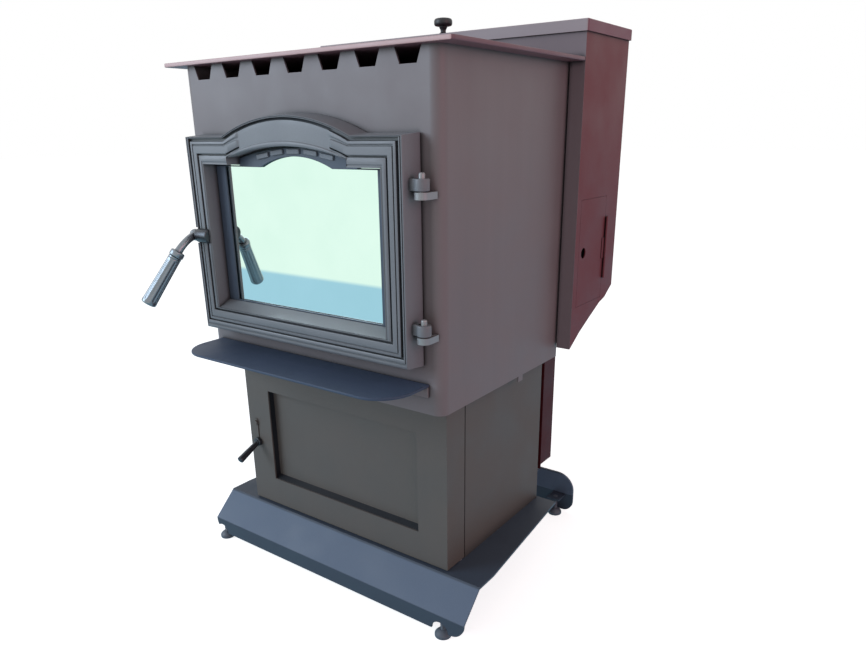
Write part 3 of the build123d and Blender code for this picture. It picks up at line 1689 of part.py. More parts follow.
# ---------------------------------------------------------------- side access
panel_axis_x = hopper_half + small_hinge_r + 0.1
panel_axis_y = panel_rear + 2.8
panel_middle = (panel_low + panel_high) / 2
with BuildPart() as side_access_panel:
    block((side_in, hopper_half), (panel_front, panel_rear), (panel_low, panel_high))
    fillet(side_access_panel.edges().filter_by(Axis.X), radius=2)
    rod_x(
        (side_in - 1, hopper_half + 1),
        panel_front + finger_hole_inset,
        finger_hole_z,
        finger_hole_r,
        mode=Mode.SUBTRACT,
    )
    block(
        (hopper_half, hopper_half + 1.2),
        (panel_rear - 10, panel_axis_y - 1.3),
        (panel_middle - panel_knuckle / 2, panel_middle + panel_knuckle / 2),
    )
    rod_z(
        (panel_middle - panel_knuckle / 2, panel_middle + panel_knuckle / 2),
        panel_axis_x,
        panel_axis_y,
        small_hinge_r,
    )
    rod_z(
        (panel_middle - panel_knuckle, panel_middle + panel_knuckle),
        panel_axis_x,
        panel_axis_y,
        small_pin_r + running_gap,
        mode=Mode.SUBTRACT,
    )
save(side_access_panel.part, "side_access_panel")

with BuildPart() as panel_hinge:
    for low in (panel_middle - 1.5 * panel_knuckle - 0.5, panel_middle + panel_knuckle / 2 + 0.5):
        rod_z((low, low + panel_knuckle), panel_axis_x, panel_axis_y, small_hinge_r)
        block(
            (hopper_half, hopper_half + 1.2),
            (panel_axis_y + 1.3, panel_axis_y + 12),
            (low, low + panel_knuckle),
        )
    rod_z(
        (panel_middle - 1.5 * panel_knuckle - 0.5, panel_middle + 1.5 * panel_knuckle + 0.5),
        panel_axis_x,
        panel_axis_y,
        small_pin_r,
    )
save(panel_hinge.part, "panel_hinge")

dial_y = (panel_front + panel_rear) / 2
dial_spots = (("feed_rate_dial", 660.0), ("fan_speed_dial", 605.0))
tray_face = side_in - tray_depth
with BuildPart() as control_panel:
    block(
        (tray_face, side_in),
        (panel_front - tray_margin, panel_rear + tray_margin),
        (panel_low - tray_margin, panel_high + tray_margin),
    )
    block(
        (tray_face + tray_t, side_in + 1),
        (panel_front - tray_margin + tray_t, panel_rear + tray_margin - tray_t),
        (panel_low - tray_margin + tray_t, panel_high + tray_margin - tray_t),
        Mode.SUBTRACT,
    )
    # switch box behind the face
    block(
        (tray_face - 12, tray_face),
        (dial_y - switch_half - 3, dial_y + switch_half + 3),
        (switch_z - switch_r - 3, switch_z + switch_r + 3),
    )
    block(
        (tray_face - 10, tray_face + tray_t + 1),
        (dial_y - switch_half - 0.4, dial_y + switch_half + 0.4),
        (switch_z - switch_r - 0.5, switch_z + switch_r + 0.5),
        Mode.SUBTRACT,
    )
    rod_y(
        (dial_y - switch_half - 2.5, dial_y + switch_half + 2.5),
        tray_face,
        switch_z,
        1.5 + running_gap,
        mode=Mode.SUBTRACT,
    )
    for _, dial_z in dial_spots:
        rod_x((tray_face - 1, tray_face + 3), dial_y, dial_z, 3 + running_gap, mode=Mode.SUBTRACT)
save(control_panel.part, "control_panel")

for dial_name, dial_z in dial_spots:
    with BuildPart() as dial:
        rod_x((tray_face - 8, tray_face + tray_t + 4), dial_y, dial_z, 3)
        rod_x((tray_face + tray_t + 0.3, tray_face + tray_t + 11), dial_y, dial_z, dial_r)
        chamfer(dial.edges().group_by(Axis.X)[-1], length=1)
        # pointer rib across the face
        block(
            (tray_face + tray_t + 10, tray_face + tray_t + 13),
            (dial_y - 2, dial_y + 2),
            (dial_z - dial_r + 2, dial_z + dial_r - 2),
        )
    save(dial.part, dial_name)

with BuildPart() as mode_switch:
    rod_y((dial_y - switch_half, dial_y + switch_half), tray_face, switch_z, switch_r)
    # the rocker's two slanted faces
    with BuildSketch(facing_front(dial_y + switch_half + 1)):
        with BuildLine():
            Polyline(
                (tray_face + 4, switch_z),
                (tray_face + 6.5, switch_z + 9),
                (tray_face + 12, switch_z + 9),
                (tray_face + 12, switch_z - 9),
                (tray_face + 6.5, switch_z - 9),
                close=True,
            )
        make_face()
    extrude(amount=2 * switch_half + 2, mode=Mode.SUBTRACT)
    rod_y((dial_y - switch_half - 2, dial_y + switch_half + 2), tray_face, switch_z, 1.5)
save(mode_switch.part, "mode_switch")
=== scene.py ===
"""Pellet stove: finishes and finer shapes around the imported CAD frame, laid out as an add-on."""

import math

import bmesh
import bpy
import numpy as np
from bpy.props import FloatProperty, FloatVectorProperty, IntProperty, PointerProperty
from mathutils import Matrix, Vector


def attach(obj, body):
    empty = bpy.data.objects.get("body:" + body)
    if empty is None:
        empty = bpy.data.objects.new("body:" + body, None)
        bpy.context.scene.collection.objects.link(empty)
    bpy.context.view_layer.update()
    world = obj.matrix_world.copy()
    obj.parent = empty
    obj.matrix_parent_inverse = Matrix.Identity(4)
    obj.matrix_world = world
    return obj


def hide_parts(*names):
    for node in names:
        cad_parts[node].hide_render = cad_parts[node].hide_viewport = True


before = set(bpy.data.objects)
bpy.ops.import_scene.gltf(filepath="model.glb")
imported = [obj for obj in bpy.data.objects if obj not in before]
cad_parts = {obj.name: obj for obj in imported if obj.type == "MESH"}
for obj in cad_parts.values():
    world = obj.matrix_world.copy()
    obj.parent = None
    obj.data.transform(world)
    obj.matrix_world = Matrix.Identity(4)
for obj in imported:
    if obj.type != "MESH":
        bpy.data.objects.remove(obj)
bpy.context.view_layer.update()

bl_info = {
    "name": "Pellet stove",
    "version": (1, 1, 0),
    "blender": (4, 5, 0),
    "location": "3D View > Sidebar > Pellet stove",
    "description": "Builds the finishes and the finer shapes of a free-standing pellet stove",
    "category": "Object",
}

MM = 0.001
WELD = 2e-6                       # points nearer than this, in metres, are merged
SPECK, SPECK_SHARE = 1.6, 0.16    # brightness of a paint's specks, and how far they show
WIPED = 1.5                       # brightness of the streaks left by wiping
BAND_SHADE = 0.42                     # brightness of a coat outside its lit band: painted shade
# colour that painted shade darkens corners and grooves towards
SHADE_COLOUR = (0.01, 0.011, 0.013, 1.0)


# ---------------------------------------------------------------- colours

def linear(code):
    """A colour written as sRGB hex, such as 8A8F98, as linear red, green and blue."""
    value = np.array([int(code[i:i + 2], 16) for i in (0, 2, 4)]) / 255.0
    low = value / 12.92
    high = ((value + 0.055) / 1.055) ** 2.4
    return tuple(np.where(value <= 0.04045, low, high).tolist())


def opaque(colour):
    """The colour with full alpha."""
    return (*tuple(colour)[:3], 1.0)


# ---------------------------------------------------------------- shapes, in millimetres

def skin(rings, looped=False):
    """Faces over a grid of closed rings: face (i, j) joins points j and j + 1 of ring i to the
    same two of ring i + 1. Flat caps close both ends, unless the last ring joins the first."""
    rows, cols = rings.shape[:2]
    index = np.arange(rows * cols).reshape(rows, cols)
    here = index if looped else index[:-1]
    after = np.roll(index, -1, axis=0) if looped else index[1:]
    quads = np.stack([here, np.roll(here, -1, axis=1), np.roll(after, -1, axis=1), after],
                     axis=-1).reshape(-1, 4)
    caps = [] if looped else [index[0][::-1], index[-1]]
    return rings.reshape(-1, 3), quads, caps


def outward(points, quads, caps):
    """Turns a closed skin's faces round if its volume, a sixth of the sum of a . (b x c) over its
    triangles, comes out negative."""
    fans = [np.stack([np.full(len(c) - 2, c[0]), c[1:-1], c[2:]], axis=-1) for c in caps]
    threes = np.concatenate([quads[:, [0, 1, 2]], quads[:, [0, 2, 3]], *fans])
    a, b, c = (points[threes[:, k]] for k in range(3))
    if np.einsum("ij,ij->i", a, np.cross(b, c)).sum() < 0:
        quads = quads[:, ::-1]
        caps = [c[::-1] for c in caps]
    return points, quads, caps


def build(name, skins, body, finish, replaced, crease=32.0):
    """Puts closed skins into one mesh in metres, smooth but for its flat caps and for edges
    sharper than crease. It rides on a body and stands for the CAD node named by replaced."""
    points, faces, start = [], [], 0
    for part in skins:
        spots, quads, caps = outward(*part)
        points.append(spots)
        faces += (quads + start).tolist() + [(cap + start).tolist() for cap in caps]
        start += len(spots)
    mesh = bpy.data.meshes.new(name)
    mesh.from_pydata(np.concatenate(points) * MM, [], faces)
    work = bmesh.new()
    work.from_mesh(mesh)
    bmesh.ops.remove_doubles(work, verts=work.verts, dist=WELD)
    work.to_mesh(mesh)
    work.free()
    # marking sharp edges clears the faces' own flags, so the flat caps are set after it
    mesh.set_sharp_from_angle(angle=math.radians(crease))
    sides = np.zeros(len(mesh.polygons), dtype=np.int32)
    mesh.polygons.foreach_get("loop_total", sides)
    mesh.polygons.foreach_set("use_smooth", sides <= 4)
    mesh.materials.append(material(finish))
    piece = bpy.data.objects.new(name, mesh)
    bpy.context.scene.collection.objects.link(piece)
    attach(piece, body)
    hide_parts(replaced)


def unit(vector):
    vector = np.asarray(vector, dtype=float)
    return vector / np.linalg.norm(vector, axis=-1, keepdims=True)


def turned(profile, foot, axis, around=48, flutes=0, depth=0.0):
    """A lathe shape about an axis from its foot: each row of the profile is a radius and a height.
    With flutes, the radius loses depth * (1 - cos(flutes * angle)) / 2, times the row's third
    number, so that grooves run along the axis."""
    rows = np.atleast_2d(np.asarray(profile, dtype=float))
    axis = unit(axis)
    side = unit(np.cross(axis, (0.0, 0.0, 1.0) if abs(axis[2]) < 0.9 else (1.0, 0.0, 0.0)))
    other = np.cross(axis, side)
    angle = np.linspace(0, 2 * math.pi, around, endpoint=False)
    share = rows[:, 2] if rows.shape[1] > 2 else np.zeros(len(rows))
    radius = rows[:, :1] - share[:, None] * depth * (1 - np.cos(flutes * angle))[None] / 2
    rings = (np.asarray(foot, dtype=float) + rows[:, 1, None, None] * axis
             + radius[..., None] * (np.cos(angle)[None, :, None] * side
                                    + np.sin(angle)[None, :, None] * other))
    return skin(rings)


def drum(radius, low, high, foot, axis, edge=1.0, around=40):
    """A short cylinder with rounded rims: quarter circles of the edge's radius at both ends."""
    turn = np.linspace(0, math.pi / 2, 5)
    inward, along = edge * (1 - np.sin(turn)), edge * (1 - np.cos(turn))
    lower = np.stack([radius - inward, low + along], axis=-1)
    upper = np.stack([radius - inward, high - along], axis=-1)[::-1]
    return turned(np.concatenate([lower, upper]), foot, axis, around)


def swept(path, radii, around=28):
    """A round bar along a path: each ring stands square to the path's slope at its point."""
    path = np.asarray(path, dtype=float)
    slope = unit(np.gradient(path, axis=0))
    side = unit(np.cross(slope, (0.0, 0.35, 1.0)))
    other = np.cross(slope, side)
    angle = np.linspace(0, 2 * math.pi, around, endpoint=False)[None, :, None]
    ring = np.cos(angle) * side[:, None] + np.sin(angle) * other[:, None]
    return skin(path[:, None] + np.asarray(radii)[:, None, None] * ring)


def filleted(corners, radii, steps=8):
    """A closed outline through corners, each rounded by the arc that touches both its sides: the
    arc's centre is on the corner's bisector, radius / sin(half the angle) away."""
    spot = np.asarray(corners, dtype=float)
    radii = np.broadcast_to(np.asarray(radii, dtype=float), len(spot))[:, None]
    back, ahead = unit(np.roll(spot, 1, axis=0) - spot), unit(np.roll(spot, -1, axis=0) - spot)
    half = np.arccos(np.clip((back * ahead).sum(axis=1, keepdims=True), -1, 1)) / 2
    centre = spot + unit(back + ahead) * radii / np.sin(half)
    reach = radii / np.tan(half)
    first, last = spot + back * reach - centre, spot + ahead * reach - centre
    sweep = (math.pi - 2 * half)[:, None]
    share = np.linspace(0, 1, steps)[None, :, None]
    arc = (np.sin((1 - share) * sweep) * first[:, None] + np.sin(share * sweep) * last[:, None])
    return (centre[:, None] + arc / np.sin(sweep)).reshape(-1, 2)


def drawn_in(outline, amount):
    """An anticlockwise outline moved in by an amount: each point goes along the sum of its two
    sides' normals, over 1 + their dot product."""
    edge = np.roll(outline, -1, axis=0) - outline
    length = np.maximum(np.linalg.norm(edge, axis=1, keepdims=True), 1e-9)
    normal = np.stack([-edge[:, 1], edge[:, 0]], axis=-1) / length
    before = np.roll(normal, 1, axis=0)
    return outline + amount * (normal + before) / (1 + (normal * before).sum(axis=1, keepdims=True))


def spun(outline, degrees):
    """An outline turned anticlockwise about its origin."""
    cos, sin = math.cos(math.radians(degrees)), math.sin(math.radians(degrees))
    return np.asarray(outline, dtype=float) @ np.array([[cos, sin], [-sin, cos]])


def plate(outline, levels, order=(0, 1, 2)):
    """Sheet metal from an outline: each level is how far the outline is drawn in, and its height.
    order says which of the outline's two axes and the height become x, y and z."""
    rings = np.stack([np.column_stack([drawn_in(outline, inset), np.full(len(outline), height)])
                      for inset, height in levels])
    return skin(rings[..., list(order)])


def board(half, front, rear, corner, steps):
    """The outline of a level plate: round corners in front, and square ones at the rear."""
    return filleted([(-half, front), (half, front), (half, rear), (-half, rear)],
                    [corner, corner, 0.5, 0.5], steps)


def edged(low, high, edge):
    """Levels of a plate between two heights whose rims are rounded to the edge's radius."""
    turn = np.linspace(0, math.pi / 2, 4)
    inward, along = edge * (1 - np.sin(turn)), edge * (1 - np.cos(turn))
    lower = list(zip(inward, low + along))
    return lower + list(zip(inward[::-1], (high - along)[::-1]))


def bar(low, high, edge=1.0):
    """A block between two corners, with rounded upright corners and rims."""
    (x0, y0, z0), (x1, y1, z1) = low, high
    outline = filleted([(x0, y0), (x1, y0), (x1, y1), (x0, y1)], edge, 4)
    return plate(outline, edged(z0, z1, edge * 0.9))


# the load door's outlines, each as half width, low edge, shoulder, arch's half width, foot, peak
DOOR_FACE = np.array([236.5, 495.0, 829.7, 142.0, 829.7, 860.3])
DOOR_REAR = np.array([240.0, 491.5, 833.2, 143.75, 833.2, 863.8])
STEP_OUT = np.array([229.4, 509.0, 827.0, 139.5, 827.0, 856.8])
STEP_IN = np.array([224.7, 512.0, 822.0, 137.5, 822.0, 852.8])
REVEAL = np.array([196.0, 536.5, 785.6, 133.0, 797.0, 815.0])
SILL_BACK = np.array([196.0, 547.5, 785.6, 133.0, 797.0, 815.0])
VIEW = np.array([170.0, 543.0, 781.5, 80.0, 781.5, 799.0])
DOOR_FRONT = -280.0
POCKET_HIGH, POCKET_LOW, POCKET_X, POCKET_DEPTH = 677.5, 649.5, -231.0, 17.5
STUB = 102.0                      # the step and the groove stop here on the arch
BEAD_ROWS, BEAD_END = 14, 134.0   # rows of the section inside the groove, which stop here
SIDE_STEPS, ARM_STEPS, ARCH_STEPS = 12, 4, 121
HINGE = (256.0, -262.0)           # the hinges' axis, in x and y
HUB = (-242.0, -278.0, 663.5)     # middle of the handle's ball, on the shaft's axis
SHAFT = (0.0, *HUB[1:])           # a point of that axis, which runs along x
COLLAR = (-237.5, -324.0, 636.5)  # middle of the collar between the neck and the grip
GRIP_AXIS = (-0.294, -0.499, -0.815)
LATCH_X, LATCH_Z = -225.0, 231.0  # the ash door's latch turns about this line along y
LATCH = (LATCH_X, 0.0, LATCH_Z)


def arched(sizes):
    """Points round arched outlines, as many on each stretch whatever the sizes, so that all the
    outlines match point for point. The arch is the circle through its two feet and its peak: its
    radius is (half^2 + rise^2) / (2 rise). The left side has points at the pocket's edges."""
    half, low, shoulder, arch, foot, peak = np.atleast_2d(sizes).T[:, :, None]
    run = np.linspace(0, 1, SIDE_STEPS, endpoint=False)[None]
    few = np.linspace(0, 1, ARM_STEPS, endpoint=False)[None]
    rise = np.maximum(peak - foot, 1e-3)
    radius = (arch ** 2 + rise ** 2) / (2 * rise)
    swing = np.arcsin(arch / radius) * np.linspace(1, -1, ARCH_STEPS)[None]
    one = np.ones_like(half)
    stops = np.array([POCKET_HIGH, POCKET_HIGH - 0.1, HUB[2], POCKET_LOW + 0.1, POCKET_LOW])[None]
    level = shoulder * np.ones_like(few)
    x = [half * (2 * run - 1), half * np.ones_like(run), half + (arch - half) * few, arch,
         radius * np.sin(swing), -arch, -arch - (half - arch) * few, -half,
         -half * np.ones_like(stops)]
    z = [low * np.ones_like(run), low + (shoulder - low) * run, level, shoulder,
         peak - radius * (1 - np.cos(swing)), shoulder, level, shoulder, one * stops]
    on_arch = np.concatenate([np.full(part.shape[1], part.shape[1] == ARCH_STEPS)
                              for part in x])
    return np.concatenate(x, axis=1), np.concatenate(z, axis=1), on_arch


def widened(sizes, amount):
    """An arched outline moved out by an amount, in where it is negative."""
    return np.asarray(sizes) + amount * np.array([1, -1, 1, 0.5, 1, 1])


def arched_rings(rows):
    """One ring of points for each row, which is an arched outline and the y that it stands at."""
    x, z, _ = arched(np.stack([sizes for sizes, _ in rows]))
    y = np.array([at for _, at in rows])[:, None] + np.zeros_like(x)
    return np.stack([x, y, z], axis=-1)


def casting_rows():
    """The load door's section, from its rear edge over the rim, the sunk step, the flat band, the
    groove and the inner bead to the window. Each row is an outline, its depth behind the face on
    the straight sides, and its depth on the arch."""
    rows = [(DOOR_REAR, 37.0, 37.0),
            (DOOR_FACE + (DOOR_REAR - DOOR_FACE) * 0.473, 17.5, 17.5),
            (DOOR_FACE + (DOOR_REAR - DOOR_FACE) * 0.470, 17.4, 17.4)]
    for share, depth in [(-0.06, 2.2), (0.0, 1.2), (0.10, 0.35), (0.25, 0.0), (0.38, 0.25),
                         (0.46, 1.5), (0.54, 1.5), (0.62, 0.25), (0.75, 0.0), (0.92, 0.3),
                         (0.99, 0.9)]:
        rows.append((DOOR_FACE + (STEP_OUT - DOOR_FACE) * share, depth, depth))
    for share, side, arch in [(0.0, 5.8, 5.8), (0.85, 5.8, 3.2), (1.0, 0.5, 2.2)]:
        rows.append((STEP_OUT + (STEP_IN - STEP_OUT) * share, side, arch))
    table = [(.05, .05, .03, .05, 0.0, 2.0), (.15, .14, .10, .20, 0.0, 1.9),
             (.18, .20, .13, .30, 1.6, 1.9), (.21, .24, .17, .40, 1.6, 1.9),
             (.23, .27, .20, .45, 0.1, 1.9), (.25, .30, .24, .50, 0.0, 1.9),
             (.50, .64, .50, .62, 0.0, 1.9), (.53, .74, .53, .66, 0.6, 1.9),
             (.545, .76, .54, .67, 5.6, 1.9), (.635, .86, .60, .69, 5.6, 1.9),
             (.65, .88, .615, .70, 1.2, 1.9), (.70, .90, .68, .76, 0.6, 2.0),
             (.74, .92, .72, .79, 0.1, 1.9), (.80, .94, .80, .82, 0.0, 0.6),
             (.86, .955, .86, .85, 0.2, 0.1), (.90, .965, .90, .90, 1.2, 0.0),
             (.93, .975, .93, .94, 1.2, 0.1), (.96, .985, .96, .97, 0.4, 0.4),
             (.985, .995, .985, .99, 0.2, 0.8), (1.0, 1.0, 1.0, 1.0, 1.0, 1.6)]
    for side, low, top, arch, depth, arch_depth in table:
        sizes = STEP_IN + (REVEAL - STEP_IN) * np.array([side, low, top, top, top, arch])
        sizes[4] = sizes[2] + 11.4 * min(max((top - 0.62) / 0.38, 0.0), 1.0)
        rows.append((sizes, depth, arch_depth))
    rows += [(SILL_BACK, 24.5, 24.5), (REVEAL, 24.5, 24.5), (REVEAL, 33.0, 33.0),
             (VIEW, 33.0, 33.0), (VIEW, 37.0, 37.0)]
    return rows


# ---------------------------------------------------------------- materials

def add(tree, kind, settings=None, **links):
    """Adds one node, sets its attributes and sockets, and links its named inputs: i0 is its first
    input, and an underscore stands for a space in an input's name."""
    made = tree.nodes.new(kind)
    for key, value in (settings or {}).items():
        if isinstance(key, str) and hasattr(made, key):
            setattr(made, key, value)
        else:
            made.inputs[key].default_value = value
    for key, source in links.items():
        spot = int(key[1:]) if key[0] == "i" and key[1:].isdigit() else key.replace("_", " ")
        tree.links.new(source, made.inputs[spot])
    return made


def blank(name):
    """A new material with only its Principled shader and its output."""
    made = bpy.data.materials.new(name)
    made.use_nodes = True
    tree = made.node_tree
    return made, tree, tree.nodes["Principled BSDF"]


def painted(name, colour, grain=0.8, mottle=70.0, spread=0.10, rough=(0.42, 0.55), bump=0.03,
            metallic=0.0, streak=0.0, specular=0.5, painted_shade=0.0, reach=8.0, lit_band=None,
            front_shading=None):
    """A coat over metal: fine grain and slow mottling, both sized in millimetres, an uneven sheen
    and, where a sheet was wiped or rolled, faint upright streaks. Given a share of painted shade,
    the colour darkens by up to that share in corners and grooves narrower than about the reach.
    Given a lit band, the coat is darkened as painted shade but for the heights between its two
    values, which keep the full colour as a painted reflection. Given a front shading, the front
    face, forward of the y value, takes a colour of its own, painted light or shade that sets it
    apart from the sides."""
    made, tree, shader = blank(name)
    place = add(tree, "ShaderNodeTexCoord").outputs["Object"]
    fine = add(tree, "ShaderNodeTexNoise", {"Scale": 1000.0 / grain, "Detail": 3.0}, Vector=place)
    slow = add(tree, "ShaderNodeTexNoise", {"Scale": 1000.0 / mottle, "Detail": 4.0}, Vector=place)
    tone = add(tree, "ShaderNodeMix",
               {"data_type": "RGBA", 6: opaque([c * (1 - spread) for c in colour]),
                7: opaque([c * (1 + spread) for c in colour])}, i0=slow.outputs["Fac"])
    speck = add(tree, "ShaderNodeMapRange", {"From Min": 0.3, "From Max": 0.7, "To Min": 0.0,
                                             "To Max": SPECK_SHARE}, Value=fine.outputs["Fac"])
    mixed = add(tree, "ShaderNodeMix",
                {"data_type": "RGBA", 7: opaque([c * SPECK for c in colour])},
                i0=speck.outputs["Result"], i6=tone.outputs[2])
    if streak:
        drawn = add(tree, "ShaderNodeMapping", {"Scale": (26.0, 26.0, 1.6)}, Vector=place)
        lines = add(tree, "ShaderNodeTexNoise", {"Scale": 1.0, "Detail": 5.0},
                    Vector=drawn.outputs["Vector"])
        share = add(tree, "ShaderNodeMapRange", {"From Min": 0.35, "From Max": 0.7, "To Min": 0.0,
                                                 "To Max": streak}, Value=lines.outputs["Fac"])
        mixed = add(tree, "ShaderNodeMix",
                    {"data_type": "RGBA", 7: opaque([c * WIPED for c in colour])},
                    i0=share.outputs["Result"], i6=mixed.outputs[2])
    # painted light or shade: the front face takes a colour apart from the sides
    if front_shading:
        across = add(tree, "ShaderNodeSeparateXYZ", Vector=place).outputs["Y"]
        edge, code = front_shading
        behind = add(tree, "ShaderNodeMapRange",
                     {"From Min": (edge - 0.2) * MM, "From Max": (edge + 0.2) * MM}, Value=across)
        mixed = add(tree, "ShaderNodeMix", {"data_type": "RGBA", 6: opaque(linear(code))},
                    i0=behind.outputs[0], i7=mixed.outputs[2])
    # painted shade outside the lit band, which keeps the full colour as a painted reflection
    if lit_band:
        height = add(tree, "ShaderNodeSeparateXYZ", Vector=place).outputs["Z"]
        low, high = lit_band
        above = add(tree, "ShaderNodeMapRange",
                    {"From Min": (low - 1) * MM, "From Max": (low + 1) * MM}, Value=height)
        below = add(tree, "ShaderNodeMapRange",
                    {"From Min": (high + 1) * MM, "From Max": (high - 1) * MM}, Value=height)
        both = add(tree, "ShaderNodeMath", {"operation": "MULTIPLY"}, i0=above.outputs[0],
                   i1=below.outputs[0])
        mixed = add(tree, "ShaderNodeMix",
                    {"data_type": "RGBA", 6: opaque([c * BAND_SHADE for c in colour])},
                    i0=both.outputs[0], i7=mixed.outputs[2])
    # painted shade: darker where ambient occlusion finds corners and grooves within the reach
    if painted_shade:
        hollow = add(tree, "ShaderNodeAmbientOcclusion", {"Distance": reach * MM, "samples": 8})
        left = add(tree, "ShaderNodeMapRange", {"From Min": 0.5, "From Max": 0.92,
                                                "To Min": painted_shade, "To Max": 0.0},
                   Value=hollow.outputs["AO"])
        mixed = add(tree, "ShaderNodeMix", {"data_type": "RGBA", 7: SHADE_COLOUR},
                    i0=left.outputs["Result"], i6=mixed.outputs[2])
    tree.links.new(mixed.outputs[2], shader.inputs["Base Color"])
    sheen = add(tree, "ShaderNodeMapRange", {"From Min": 0.3, "From Max": 0.7, "To Min": rough[0],
                                             "To Max": rough[1]}, Value=slow.outputs["Fac"])
    tree.links.new(sheen.outputs["Result"], shader.inputs["Roughness"])
    relief = add(tree, "ShaderNodeBump", {"Strength": 0.6, "Distance": bump * MM},
                 Height=fine.outputs["Fac"])
    tree.links.new(relief.outputs["Normal"], shader.inputs["Normal"])
    shader.inputs["Metallic"].default_value = metallic
    shader.inputs["Specular IOR Level"].default_value = specular
    return made


def mirror_glass():
    """Mirror-coated ceramic glass: rolled sheet with a metal-oxide film on its face, so that it
    throws the room back with a faint green cast and small smears."""
    made, tree, shader = blank("mirror coated ceramic glass")
    place = add(tree, "ShaderNodeTexCoord").outputs["Object"]
    film = add(tree, "ShaderNodeTexNoise", {"Scale": 14.0, "Detail": 2.0}, Vector=place)
    tone = add(tree, "ShaderNodeMix", {"data_type": "RGBA", 6: opaque(linear("EDF8F2")),
                                       7: opaque(linear("F8FFFA"))}, i0=film.outputs["Fac"])
    tree.links.new(tone.outputs[2], shader.inputs["Base Color"])
    shader.inputs["Metallic"].default_value = 1.0
    smear = add(tree, "ShaderNodeMapRange", {"To Min": 0.01, "To Max": 0.035},
                Value=film.outputs["Fac"])
    tree.links.new(smear.outputs["Result"], shader.inputs["Roughness"])
    return made


MATERIALS = {}


def material(name):
    """The finish of that name, made once."""
    if name not in MATERIALS:
        MATERIALS[name] = FINISHES[name](bpy.context.scene.stove)
    return MATERIALS[name]


